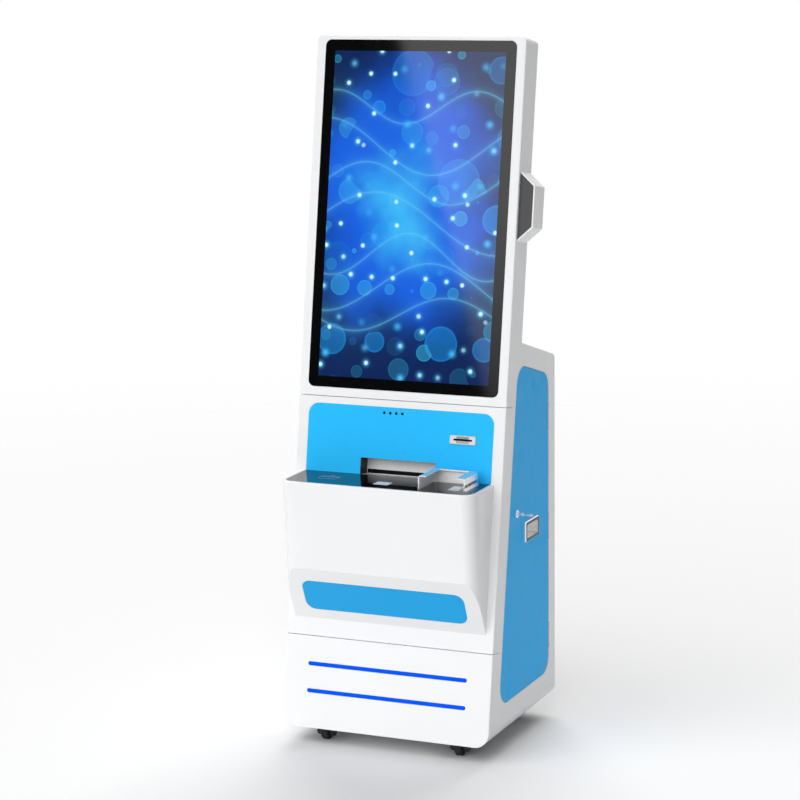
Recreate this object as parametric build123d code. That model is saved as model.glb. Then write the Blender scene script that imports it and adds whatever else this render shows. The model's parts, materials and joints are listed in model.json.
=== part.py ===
"""Floor-standing self-service kiosk: leaning touch screen, reader console, side door, castors."""
from build123d import *
import math
import os

# Overall form; "up" is measured along the leaning front from its bottom edge, "in" square to it
lean_deg = 9.42
top_slope_deg = 15.6
cabinet_depth = 556.0
ground_clearance = 52.0
rear_height = 1097.0
lower_front_height = 269.0
mid_front_height = 699.0
head_thickness = 94.0
wall = 2.0
seam = 1.6
fascia_depth = 48.0
bottom_corner_radius = 42.0
rear_corner_radius = 30.0
head_corner_radius = 16.0
edge_radius = 4.0
pan_lip = 8.0
cover_lip = 45.0
overrun = 5.0

# Seats that hold a flush plate in a sheet panel
seat_clearance = 0.4
seat_rim = 2.0
seat_ledge = 8.0
ledge_thickness = 2.0

# Display
glass_side_margin = 28.0
glass_height = 1004.5
glass_rise = 26.5
head_top_margin = 13.0
glass_corner_radius = 18.0
glass_seat_depth = 3.0
glass_proud = 1.0
screen_side_border = 23.0
screen_end_border = 23.75
screen_corner_radius = 3.0
screen_depth = 30.0
bracket_height = 60.0
bracket_depth = 20.0
bracket_spread = 520.0

# Blue front panel and what is set in it
graphic_side_margin = 9.5
graphic_top_margin = 21.0
graphic_height = 247.0
graphic_thickness = 3.0
graphic_corner_radius = 32.0
mic_hole_radius = 4.2
mic_pitch = 18.7
mic_count = 4
mic_offset = -22.5
mic_drop = 16.5
mic_strip_width = 90.0
mic_strip_height = 13.0
mic_strip_depth = 9.0
card_side_margin = 92.0
card_drop = 78.5
card_bezel_width = 79.0
card_bezel_height = 24.5
card_bezel_radius = 4.0
card_bezel_proud = 2.5
card_slot_width = 57.0
card_slot_height = 5.5
card_slot_depth = 85.0
card_scoop_width = 38.0
card_scoop_height = 20.0
card_scoop_depth = 3.5
card_reader_width = 88.0
card_reader_height = 36.0
card_reader_depth = 105.0
card_neck_margin = 4.0

# Paper outlet and printer
chute_side_step = 28.0
chute_height = 48.0
chute_depth = 49.0
chute_wall = 1.5
chute_flange = 10.0
paper_slot_margin = 2.0
paper_slot_height = 12.0
paper_slot_rise = 2.0
printer_side_gap = 8.0
printer_depth = 250.0
printer_height = 200.0
printer_gap = 12.0
printer_throat_height = 32.0
printer_throat_depth = 42.0
roller_end_gap = 14.0
drive_roller_radius = 7.0
pinch_roller_radius = 5.0
roller_nip = 0.3
roller_shaft_radius = 3.0
roller_shaft_overhang = 9.0
roller_inset = 16.0
running_clearance = 0.05
shelf_drop = 100.0
shelf_flange = 25.0
shelf_right_gap = 40.0
shelf_front_gap = 62.0

# Console
console_width = 597.0
console_side_margin = 25.0
console_front = -42.0
console_drop = 218.4
console_overhang = 21.5
console_crease = 532.5
console_bottom_up = 322.0
console_corner_radius = 37.5
console_wall = 3.0
console_deck = 8.0
console_rim = 10.0
console_ledge = 14.0
console_edge_radius = 4.0
console_glass_thickness = 5.0
inset_side_margin = 46.5
inset_height = 103.0
inset_radius = 28.0
inset_thickness = 1.5
inset_fall = 42.0
scan_window_width = 46.0
scan_window_depth = 37.0
scan_window_radius = 3.0
scan_offset = -3.5
scan_setback = 70.0
scanner_width = 64.0
scanner_depth = 54.0
scanner_height = 46.0
contactless_side_margin = 118.5
contactless_setback = 92.0
contactless_width = 104.0
contactless_depth = 62.0
contactless_height = 20.0

# Document hood on the console glass
hood_side_margin = 36.5
hood_width = 141.0
hood_setback = 34.0
hood_depth = 113.0
hood_height = 40.0
hood_wall = 3.4
hood_corner_radius = 15.0
hood_top_radius = 8.0
hood_side_flange = 25.0
hood_rear_flange = 13.0
hood_window_radius = 4.0
hood_foot = 2.2
hood_foot_height = 1.6
hood_waist = 0.9
hood_waist_share = 0.27
hood_ridge = 0.9
hood_ridge_share = 0.52
reader_width = 130.0
reader_depth = 95.0
reader_height = 58.0

# Light strips in the lower front
strip_side_margin = 74.5
strip_height = 12.3
strip_lower_up = 108.5
strip_pitch = 79.0
strip_flange = 4.0
strip_back = 3.0
strip_clearance = 0.2

# Side pod
pod_reach = 45.0
pod_length = 199.0
pod_face_length = 118.0
pod_rise = 469.0
pod_face_rise = 510.0
pod_setback = 9.5
pod_depth = 78.5
pod_wall = 4.0
pod_window_recess = 1.5
pod_window_thickness = 3.0
pod_camera_length = 80.0
pod_camera_reach = 26.0
pod_camera_depth = 34.0
pod_lens_radius = 10.0
pod_lens_length = 12.0

# Side door, hung on its rear edge
door_front_margin = 73.5
door_rear_margin = 60.0
door_bottom_margin = 97.0
door_top_margin = 63.0
door_corner_radius = 55.0
door_gap = 1.5
hinge_gap = 5.0
door_tray_depth = 15.0
jamb_depth = 18.0
hinge_length = 80.0
hinge_count = 3
hinge_pin_radius = 1.0
hinge_knuckle_radius = 2.2
hinge_leaf_thickness = 1.0
hinge_leaf_depth = 13.0
hinge_leaf_setback = 2.8
hinge_play = 0.4
hinge_end_margin = 110.0
handle_rear_margin = 152.0
handle_height_place = 617.5
handle_width = 110.0
handle_height = 61.0
handle_radius = 6.0
handle_proud = 8.0
handle_chamfer = 2.5
handle_frame = 11.0
handle_cup_depth = 14.0
handle_cup_wall = 1.5
door_vent_rear_margin = 112.0
door_vent_drop = 61.0
door_vent_radius = 20.0
door_vent_thickness = 1.2
door_vent_hole_radius = 1.5
door_vent_ring_pitch = 5.5
door_vent_opening_radius = 15.0
door_vent_rings = 2
door_screw_radius = 3.0
door_screw_height = 1.0
door_screw_margin = 14.0

# Cam lock in the door, with its key
lock_front_margin = 55.0
lock_height_place = 684.5
lock_flange_radius = 11.0
lock_flange_thickness = 3.0
lock_barrel_radius = 8.0
lock_barrel_length = 22.0
lock_hole_clearance = 0.2
plug_radius = 6.0
plug_proud = 4.0
plug_tail = 1.0
keyway_width = 7.0
keyway_thickness = 2.0
keyway_depth = 16.0
keyway_clearance = 0.2
key_reach = 50.0
key_shoulder_radius = 4.5
key_shoulder_length = 12.0
key_bow_width = 20.0
key_bow_length = 22.0
key_bow_radius = 6.0
key_ring_hole_radius = 3.0
cam_length = 68.0
cam_width = 14.0
cam_thickness = 3.0

# Rear vents and mains inlet
vent_slot_length = 130.0
vent_slot_height = 6.0
vent_pitch = 16.0
vent_count = 8
vent_spread = 300.0
cabinet_vent_rise = 780.0
head_vent_drop = 170.0
inlet_side_margin = 133.5
inlet_rise = 118.0
inlet_width = 46.0
inlet_height = 56.0
inlet_flange = 5.0
inlet_flange_thickness = 3.0
inlet_depth = 30.0
inlet_recess = 0.5
socket_width = 25.0
socket_height = 17.0
socket_depth = 15.0
socket_drop = 13.0
rocker_width = 15.0
rocker_height = 19.0
rocker_rise = 13.5
rocker_clearance = 0.6
rocker_crown = 3.5
rocker_dip = 1.0
rocker_pocket_depth = 15.0
rocker_pivot_radius = 2.0
rocker_tilt_deg = 7.0
rocker_pivot_depth = 5.5

# Electronics inside
controller_depth = 200.0
controller_height = 260.0
controller_thickness = 70.0
controller_setback = 250.0
controller_shelf_gap = 54.0
controller_fin_count = 9
controller_fin_depth = 12.0
controller_fin_thickness = 4.0
supply_depth = 160.0
supply_height = 110.0
supply_thickness = 55.0
supply_controller_gap = 30.0

# Base frame and castors
rail_castor_gap = 71.0
rail_width = 30.0
rail_margin = 62.0
frame_height = 48.0
rail_wall = 2.5
castor_height = 72.0
castor_plate_size = 60.0
castor_plate_thickness = 3.0
castor_side_margin = 112.5
castor_front_setback = 94.0
castor_mount_depth = 90.0
castor_mount_margin = 48.5
castor_mount_thickness = 4.0
castor_well_radius = 72.0
castor_trail = 22.0
castor_wheel_radius = 25.0
castor_wheel_width = 20.0
castor_tread_radius = 3.0
castor_hub_radius = 9.0
castor_rim_width = 5.0
castor_web_recess = 3.0
castor_axle_radius = 3.0
castor_cap_radius = 13.0
castor_cap_height = 15.0
castor_cap_chamfer = 4.0
castor_leg_gap = 1.5
castor_leg_thickness = 2.5
castor_leg_boss = 8.0
castor_leg_span = 28.0
castor_disc_radius = 20.0
castor_disc_thickness = 4.0
castor_disc_gap = 0.4
castor_housing_radius = 14.0
castor_housing_height = 9.6
kingpin_radius = 5.0
kingpin_top_gap = 0.3
brake_pivot_reach = 42.0
brake_pivot_height = 48.0
brake_pin_radius = 1.5
brake_barrel_radius = 3.2
brake_lobe_radius = 5.0
brake_lobe_deg = 11.0
brake_side_gap = 0.5
brake_pedal_length = 21.0
brake_pedal_thickness = 3.0
brake_lug_radius = 4.0
brake_lug_gap = 1.0
brake_tread_width = 56.0

# Sizes and places worked out from the ones above
lean = math.radians(lean_deg)
top_slope = math.radians(top_slope_deg)
rise_run = (math.sin(lean), math.cos(lean))
inward_run = (math.cos(lean), -math.sin(lean))
slope_run = (math.cos(top_slope), -math.sin(top_slope))
cabinet_width = console_width + 2 * console_side_margin
half = cabinet_width / 2
inner_half = half - wall
head_front_height = glass_rise + glass_height + head_top_margin
mid_seam_up = lower_front_height
head_seam_up = lower_front_height + mid_front_height
front_length = head_seam_up + head_front_height
reach = front_length + cabinet_depth
glass_width = cabinet_width - 2 * glass_side_margin
glass_middle_up = head_seam_up + glass_rise + glass_height / 2
screen_width = glass_width - 2 * screen_side_border
screen_height = glass_height - 2 * screen_end_border
graphic_width = console_width - 2 * graphic_side_margin
graphic_top_up = head_seam_up - graphic_top_margin
graphic_middle_up = graphic_top_up - graphic_height / 2
mic_up = graphic_top_up - mic_drop
card_offset = graphic_width / 2 - card_side_margin
card_up = graphic_top_up - card_drop
console_rear_up = head_seam_up - console_drop
console_top = ground_clearance + console_rear_up * math.cos(lean)
crease_depth = console_front + console_overhang
console_front_run = (-console_overhang, console_top - console_crease)
overhang = math.atan2(console_overhang, console_top - console_crease)
console_nose = console_front + console_edge_radius * (math.tan(overhang) + 1 / math.cos(overhang) - 1)
printer_width = 2 * (card_offset - card_reader_width / 2 - printer_side_gap)
chute_width = printer_width - 2 * chute_side_step
paper_slot_width = chute_width - 2 * paper_slot_margin
roller_length = chute_width - 2 * roller_end_gap
chute_middle_up = console_rear_up + chute_height / 2
slot_low_up = console_rear_up + paper_slot_rise
slot_middle_up = slot_low_up + paper_slot_height / 2
inset_width = console_width - 2 * inset_side_margin
contactless_offset = contactless_side_margin - console_width / 2
hood_left = console_width / 2 - hood_side_margin - hood_width
strip_length = cabinet_width - 2 * strip_side_margin
door_rear = cabinet_depth - door_rear_margin
hinge_axis_depth = door_rear + hinge_gap / 2
handle_depth_place = door_rear - handle_rear_margin
door_vent_depth_place = door_rear - door_vent_rear_margin
door_vent_height_place = rear_height - door_vent_drop
door_front_at_lock = (
    (lock_height_place - ground_clearance) * math.tan(lean) + door_front_margin / math.cos(lean)
)
lock_depth_place = door_front_at_lock + lock_front_margin
inlet_offset = inlet_side_margin - half
castor_place = half - castor_side_margin
rail_place = castor_place - rail_castor_gap
castor_rear_setback = cabinet_depth - castor_front_setback
castor_mount_width = cabinet_width - 2 * castor_mount_margin
origin_side = key_reach / 2
origin_depth = (console_nose + cabinet_depth) / 2

front = Plane(
    origin=(0, 0, ground_clearance),
    x_dir=(1, 0, 0),
    z_dir=(0, -math.cos(lean), math.sin(lean)),
)


def front_point(up, inward=0.0):
    """Depth and height of a point on the leaning front."""
    depth = up * rise_run[0] + inward * inward_run[0]
    return (depth, ground_clearance + up * rise_run[1] + inward * inward_run[1])


def crossing(start, run, other_start, other_run):
    """Where two lines in the side view meet."""
    turn = run[0] * other_run[1] - run[1] * other_run[0]
    step_depth = other_start[0] - start[0]
    step_height = other_start[1] - start[1]
    share = (step_depth * other_run[1] - step_height * other_run[0]) / turn
    return (start[0] + share * run[0], start[1] + share * run[1])


def rounded_outline(corners, radii):
    return make_face(FilletPolyline(*corners, radius=radii, close=True))


def rectangle(left, right, low, high):
    return Pos((left + right) / 2, (low + high) / 2) * Rectangle(right - left, high - low)


def rounded_rectangle(middle, width, height, radius, grow=0.0):
    shape = RectangleRounded(width + 2 * grow, height + 2 * grow, radius + grow)
    return Pos(*middle) * shape


def front_slab(sketch, near, far):
    """A slab parallel to the leaning front, between two depths."""
    return extrude(front.offset(-near) * sketch, amount=near - far)


def side_slab(sketch, left, right):
    return extrude(Plane.YZ.offset(left) * sketch, amount=right - left)


def rear_slab(sketch, near, far):
    return extrude(Plane.XZ.offset(-far) * sketch, amount=far - near)


def level_slab(sketch, low, high):
    return extrude(Plane.XY.offset(low) * sketch, amount=high - low)


def block(left, right, near, far, low, high):
    middle = Pos((left + right) / 2, (near + far) / 2, (low + high) / 2)
    return middle * Box(right - left, far - near, high - low)


def rod(middle, radius, left, right):
    """A round bar along X; middle is its depth and height."""
    return side_slab(Pos(*middle) * Circle(radius), left, right)


def post(middle, radius, low, high):
    return level_slab(Pos(*middle) * Circle(radius), low, high)


def with_seat(panel, outline, depth):
    """A sheet panel with an opening whose rim and ledge hold a plate at the given depth."""
    hole = outline(seat_clearance)
    rim = outline(seat_clearance + seat_rim)
    ledge = rim - outline(-seat_ledge)
    panel = panel - front_slab(hole, -overrun, depth)
    panel = panel + front_slab(rim - hole, 0, depth + ledge_thickness)
    return panel + front_slab(ledge, depth, depth + ledge_thickness)


# Cabinet body


def side_lines(inset):
    """The straight edges of the body's side view, moved inwards, each as a point and a run."""
    slope_start = (
        cabinet_depth + inset * slope_run[1],
        rear_height - inset * slope_run[0],
    )
    return [
        (front_point(0, inset), rise_run),
        (front_point(front_length - inset), inward_run),
        (front_point(0, head_thickness - inset), rise_run),
        (slope_start, slope_run),
        ((cabinet_depth - inset, 0), (0, 1)),
        ((0, ground_clearance + inset), (1, 0)),
    ]


def side_corners(lines):
    return [crossing(*lines[i], *lines[(i + 1) % len(lines)]) for i in range(len(lines))]


neck_corner = side_corners(side_lines(0))[2]


def body_solid(inset):
    """The whole body as a solid, its walls moved inwards by inset."""
    corner = rear_corner_radius - inset
    radii = [max(edge_radius - inset, 0), head_corner_radius - inset, 0, corner, corner, 0]
    side = rounded_outline(side_corners(side_lines(inset)), radii)
    width = half - inset
    low = ground_clearance + inset
    round_bottom = bottom_corner_radius - inset
    across = rounded_outline(
        [(-width, reach), (-width, low), (width, low), (width, reach)],
        [0, round_bottom, round_bottom, 0],
    )
    high = front_length - inset
    round_top = head_corner_radius - inset
    face = rounded_outline(
        [(-width, -reach), (-width, high), (width, high), (width, -reach)],
        [0, round_top, round_top, 0],
    )
    solid = extrude(Plane.YZ * side, amount=width, both=True)
    return solid & rear_slab(across, -reach, reach) & front_slab(face, -reach, reach)


def edge_rounding():
    """Rounds the upright edges of the front and the back."""
    plan_plane = Plane(
        origin=(0, 0, ground_clearance), x_dir=(1, 0, 0), z_dir=(0, *rise_run)
    )
    corners = [(-half, reach), (-half, 0), (half, 0), (half, reach)]
    plan = rounded_outline(corners, [0, edge_radius, edge_radius, 0])
    front_round = extrude(plan_plane * plan, amount=reach, both=True)
    rear = [(-half, -reach), (-half, cabinet_depth), (half, cabinet_depth), (half, -reach)]
    rear_plan = rounded_outline(rear, [0, edge_radius, edge_radius, 0])
    return front_round & level_slab(rear_plan, -reach, reach)


def castor_wells():
    wells = []
    for side in (-1, 1):
        for setback in (castor_front_setback, castor_rear_setback):
            low = ground_clearance - overrun
            middle = (side * castor_place, setback)
            wells.append(post(middle, castor_well_radius, low, ground_clearance + wall + overrun))
    return wells


def vent_slots(middle_height):
    """Two columns of ventilation slots, as a sketch seen from the rear."""
    slots = Sketch()
    for side in (-1, 1):
        for row in range(vent_count):
            height = middle_height + (row - (vent_count - 1) / 2) * vent_pitch
            place = Pos(side * vent_spread / 2, height)
            slots += place * SlotOverall(vent_slot_length, vent_slot_height)
    return slots


def glass_outline(grow):
    middle = (0, glass_middle_up)
    return rounded_rectangle(middle, glass_width, glass_height, glass_corner_radius, grow)


def graphic_outline(grow):
    middle = (0, graphic_middle_up)
    return rounded_rectangle(
        middle, graphic_width, graphic_height, graphic_corner_radius, grow
    )


def strip_places():
    return [Pos(0, strip_lower_up + row * strip_pitch) for row in range(2)]


def door_outline(gap, rear_gap):
    """The door's edge in the side view, with room left around it."""
    slope_start = side_lines(door_top_margin - gap)[3]
    lines = [
        (front_point(0, door_front_margin - gap), rise_run),
        slope_start,
        ((door_rear + rear_gap, 0), (0, 1)),
        ((0, ground_clearance + door_bottom_margin - gap), (1, 0)),
    ]
    return rounded_outline(side_corners(lines), door_corner_radius)


def inlet_rectangle(grow):
    middle = Pos(inlet_offset, ground_clearance + inlet_rise)
    return middle * Rectangle(inlet_width + 2 * grow, inlet_height + 2 * grow)


def cabinet_panels():
    shell = (body_solid(0) & edge_rounding()) - body_solid(wall)
    shell = shell - castor_wells()
    wide = (-reach, reach)
    pan_top = ground_clearance + bottom_corner_radius + pan_lip
    cover_low = rear_height - cover_lip
    rest = shell - front_slab(rectangle(*wide, *wide), -overrun, fascia_depth)
    middle = rest & block(-inner_half, inner_half, *wide, pan_top, reach)
    left = rest & block(-half - overrun, -inner_half, *wide, pan_top, reach)
    right = rest & block(inner_half, half + overrun, *wide, pan_top, reach)
    opening = door_outline(door_gap, hinge_gap)
    jamb = door_outline(door_gap + wall, hinge_gap + wall) - opening
    right = right - side_slab(opening, inner_half - overrun, half + overrun)
    right = right + side_slab(jamb, half - jamb_depth, half)
    rear = middle & block(*wide, *wide, 0, cover_low)
    rear = rear - rear_slab(vent_slots(cabinet_vent_rise), 0, reach)
    rear = rear - rear_slab(inlet_rectangle(seat_clearance), 0, reach)
    head_rear = middle & block(*wide, *wide, neck_corner[1], reach)
    head_vents = vent_slots(front_point(front_length)[1] - head_vent_drop)
    neck_depth = neck_corner[0]
    head_rear = head_rear - rear_slab(head_vents, neck_depth, reach)
    return {
        "base_pan": rest & block(*wide, *wide, 0, pan_top),
        "left_side_panel": left,
        "right_side_panel": right,
        "rear_panel": rear,
        "top_cover": middle & block(*wide, *wide, cover_low, neck_corner[1]),
        "head_rear_panel": head_rear,
        **front_panels(shell),
    }


def front_panels(shell):
    limits = [-reach, mid_seam_up, head_seam_up, front_length + overrun]
    pieces = []
    for low, high in zip(limits, limits[1:]):
        band = rectangle(-reach, reach, low + seam / 2, high - seam / 2)
        pieces.append(shell & front_slab(band, -overrun, fascia_depth))
    lower, mid, head = pieces
    for place in strip_places():
        slot = place * SlotOverall(strip_length, strip_height)
        lower = lower - front_slab(slot, -overrun, wall + overrun)
    return {
        "lower_front_panel": lower,
        "mid_front_panel": with_seat(mid, graphic_outline, graphic_thickness),
        "head_front_frame": with_seat(head, glass_outline, glass_seat_depth),
    }


def light_strips():
    strips = Part()
    for place in strip_places():
        face = SlotOverall(
            strip_length - 2 * strip_clearance, strip_height - 2 * strip_clearance
        )
        flange = SlotOverall(strip_length + 2 * strip_flange, strip_height + 2 * strip_flange)
        strips += front_slab(place * face, 0, wall)
        strips += front_slab(place * flange, wall, wall + strip_back)
    return strips


# Display head


def display_parts():
    middle = Pos(0, glass_middle_up)
    screen_far = glass_seat_depth + screen_depth
    screen = middle * RectangleRounded(screen_width, screen_height, screen_corner_radius)
    brackets = Part()
    for side in (-1, 1):
        up = glass_middle_up + side * bracket_spread / 2
        low = up - bracket_height / 2
        high = up + bracket_height / 2
        channel = front_slab(
            rectangle(-inner_half, inner_half, low, high), screen_far, screen_far + bracket_depth
        )
        hollow = rectangle(-reach, reach, low + wall, high - wall)
        brackets += channel - front_slab(hollow, screen_far + wall, reach)
    return {
        "display_glass": front_slab(glass_outline(0), -glass_proud, glass_seat_depth),
        "lcd_module": front_slab(screen, glass_seat_depth, screen_far),
        "display_brackets": brackets,
    }


def pod_outline(inset):
    """The pod seen from the front, its three outer sides moved inwards."""
    root_low = head_seam_up + pod_rise
    face_low = head_seam_up + pod_face_rise
    low_run = (pod_reach, face_low - root_low)
    root_high = root_low + pod_length
    face_high = face_low + pod_face_length
    high_run = (pod_reach, face_high - root_high)
    low_shift = inset * math.hypot(*low_run) / pod_reach
    high_shift = inset * math.hypot(*high_run) / pod_reach
    face_line = ((half + pod_reach - inset, 0), (0, 1))
    low_start = (half, root_low + low_shift)
    high_start = (half, root_high - high_shift)
    corners = [
        low_start,
        crossing(low_start, low_run, *face_line),
        crossing(high_start, high_run, *face_line),
        high_start,
    ]
    return make_face(Polyline(*corners, close=True))


def pod_parts():
    far = pod_setback + pod_depth
    cavity = front_slab(pod_outline(pod_wall), pod_setback - overrun, far - pod_wall)
    window_near = pod_setback + pod_window_recess
    window_far = window_near + pod_window_thickness
    window = front_slab(pod_outline(pod_wall), window_near, window_far)
    middle_up = head_seam_up + pod_rise + pod_length / 2
    low = middle_up - pod_camera_length / 2
    high = middle_up + pod_camera_length / 2
    camera_near = window_far + pod_lens_length
    case = rectangle(half, half + pod_camera_reach, low, high)
    camera = front_slab(case, camera_near, camera_near + pod_camera_depth)
    lens = Pos(half + pod_camera_reach / 2, middle_up) * Circle(pod_lens_radius)
    return {
        "pod_shell": front_slab(pod_outline(0), pod_setback, far) - cavity,
        "pod_window": window,
        "pod_camera": camera + front_slab(lens, window_far, camera_near),
    }


# Blue front panel, card reader, paper outlet and printer


def chute_rectangle(grow):
    middle = Pos(0, chute_middle_up)
    return middle * Rectangle(chute_width + 2 * grow, chute_height + 2 * grow)


def card_rectangle(width, height):
    return Pos(card_offset, card_up) * Rectangle(width, height)


def card_scoop():
    """A finger scoop that slopes in to the card slot from above and below."""
    scoop_half = card_scoop_height / 2
    mouth = -card_bezel_proud
    floor = mouth + card_scoop_depth
    profile = Polyline(
        front_point(card_up - scoop_half, mouth),
        front_point(card_up, floor),
        front_point(card_up + scoop_half, mouth),
        close=True,
    )
    left = card_offset - card_scoop_width / 2
    return side_slab(make_face(profile), left, left + card_scoop_width)


def graphic_parts():
    panel = front_slab(graphic_outline(0), 0, graphic_thickness)
    panel = panel - front_slab(chute_rectangle(0), -overrun, graphic_thickness + overrun)
    neck_width = card_bezel_width - 2 * card_neck_margin
    neck_height = card_bezel_height - 2 * card_neck_margin
    neck_room = card_rectangle(
        neck_width + 2 * seat_clearance, neck_height + 2 * seat_clearance
    )
    panel = panel - front_slab(neck_room, -overrun, graphic_thickness + overrun)
    for number in range(mic_count):
        side = mic_offset + (number - (mic_count - 1) / 2) * mic_pitch
        hole = Pos(side, mic_up) * Circle(mic_hole_radius)
        panel = panel - front_slab(hole, -overrun, graphic_thickness + overrun)
    strip = Pos(mic_offset, mic_up) * Rectangle(mic_strip_width, mic_strip_height)
    strip_far = graphic_thickness + mic_strip_depth
    slot = card_rectangle(card_slot_width, card_slot_height)
    bezel_shape = RectangleRounded(card_bezel_width, card_bezel_height, card_bezel_radius)
    bezel = front_slab(Pos(card_offset, card_up) * bezel_shape, -card_bezel_proud, 0)
    neck = front_slab(card_rectangle(neck_width, neck_height), 0, graphic_thickness)
    bezel = bezel + neck
    bezel = bezel - card_scoop()
    bezel = bezel - front_slab(slot, -overrun, graphic_thickness + overrun)
    case = card_rectangle(card_reader_width, card_reader_height)
    reader = front_slab(case, graphic_thickness, graphic_thickness + card_reader_depth)
    reader = reader - front_slab(slot, 0, graphic_thickness + card_slot_depth)
    return {
        "graphic_panel": panel,
        "microphone_strip": front_slab(strip, graphic_thickness, strip_far),
        "card_reader_bezel": bezel,
        "card_reader": reader,
    }


def outlet_middle():
    """Depth and height of the middle of the paper slot, at the back of the chute."""
    return front_point(slot_middle_up, graphic_thickness + chute_depth)


def shelf_height():
    return outlet_middle()[1] - shelf_drop


def printer_parts():
    near = graphic_thickness
    far = near + chute_depth
    chute = front_slab(chute_rectangle(chute_wall), near, far)
    chute = chute + front_slab(chute_rectangle(chute_flange), near, near + chute_wall)
    chute = chute - front_slab(chute_rectangle(0), near - overrun, far - chute_wall)
    slot = Pos(0, slot_middle_up) * Rectangle(paper_slot_width, paper_slot_height)
    chute = chute - front_slab(slot, near, far + overrun)
    outlet = outlet_middle()
    shelf_top = shelf_height()
    body_near = outlet[0] + printer_gap
    body = block(
        -printer_width / 2,
        printer_width / 2,
        body_near,
        body_near + printer_depth,
        shelf_top,
        shelf_top + printer_height,
    )
    roller_depth = body_near + roller_inset
    drive_middle = (roller_depth, outlet[1] - drive_roller_radius)
    pinch_middle = (roller_depth, outlet[1] + pinch_roller_radius + roller_nip)
    throat_half = roller_length / 2 + roller_nip
    throat = block(
        -throat_half,
        throat_half,
        body_near - overrun,
        body_near + printer_throat_depth,
        outlet[1] - printer_throat_height / 2,
        outlet[1] + printer_throat_height / 2,
    )
    body = body - throat
    shaft_half = roller_length / 2 + roller_shaft_overhang
    rollers = []
    for middle, radius in (
        (drive_middle, drive_roller_radius),
        (pinch_middle, pinch_roller_radius),
    ):
        room = roller_shaft_radius + running_clearance
        body = body - rod(middle, room, -shaft_half - roller_nip, shaft_half + roller_nip)
        tube = rod(middle, radius, -roller_length / 2, roller_length / 2)
        rollers.append(tube + rod(middle, roller_shaft_radius, -shaft_half, shaft_half))
    shelf_right = half - shelf_right_gap
    shelf_near = front_point(slot_low_up, shelf_front_gap)[0]
    shelf_far = cabinet_depth - wall
    shelf = block(
        -inner_half, shelf_right, shelf_near, shelf_far, shelf_top - shelf_flange, shelf_top
    )
    under = block(
        -inner_half - overrun,
        shelf_right - wall,
        shelf_near + wall,
        shelf_far + overrun,
        shelf_top - shelf_flange - overrun,
        shelf_top - wall,
    )
    return {
        "printer_chute": chute,
        "printer_body": body,
        "drive_roller": rollers[0],
        "pinch_roller": rollers[1],
        "equipment_shelf": shelf - under,
    }


# Console with its readers


def underside_run():
    """Run of the console's sloping underside, from its foot up to the crease."""
    foot = front_point(console_bottom_up)
    return (crease_depth - foot[0], console_crease - foot[1])


def moved_from_crease(run, inset):
    """A line through the crease in the side view, moved inwards."""
    length = math.hypot(*run)
    start = (crease_depth + inset * run[1] / length, console_crease - inset * run[0] / length)
    return (start, run)


def console_lines(inset, top, back):
    """Edges of the console's side view: top, overhanging front, sloping underside and back."""
    return [
        ((0, top), (1, 0)),
        moved_from_crease(console_front_run, inset),
        moved_from_crease(underside_run(), inset),
        (front_point(0, back), rise_run),
    ]


def console_plan(inset, near):
    side = console_width / 2 - inset
    radius = console_corner_radius - inset
    corners = [(-side, reach), (-side, near), (side, near), (side, reach)]
    return rounded_outline(corners, [0, radius, radius, 0])


def console_top_slab(inset, low, high):
    return level_slab(console_plan(inset, console_front + inset), low, high)


def console_solid(inset, top, back):
    """The console, its walls moved inwards, with corners that run along the overhanging front."""
    profile = make_face(Polyline(*side_corners(console_lines(inset, top, back)), close=True))
    solid = extrude(Plane.YZ * profile, amount=console_width, both=True)
    along_front = Plane(
        origin=(0, console_front, console_top), x_dir=(1, 0, 0), z_dir=(0, *console_front_run)
    )
    return solid & extrude(along_front * console_plan(inset, inset), amount=reach, both=True)


def underside_plane():
    run = underside_run()
    return Plane(
        origin=(0, crease_depth, console_crease), x_dir=(1, 0, 0), z_dir=(0, -run[1], run[0])
    )


def behind_front(gap):
    everywhere = rectangle(-reach, reach, -reach, reach)
    return front_slab(everywhere, -gap, reach)


def under_glass(middle, width, depth, height):
    """A module hung against the underside of the console glass."""
    high = console_top - console_glass_thickness
    side, setback = middle
    return block(
        side - width / 2,
        side + width / 2,
        setback - depth / 2,
        setback + depth / 2,
        high - height,
        high,
    )


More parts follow.
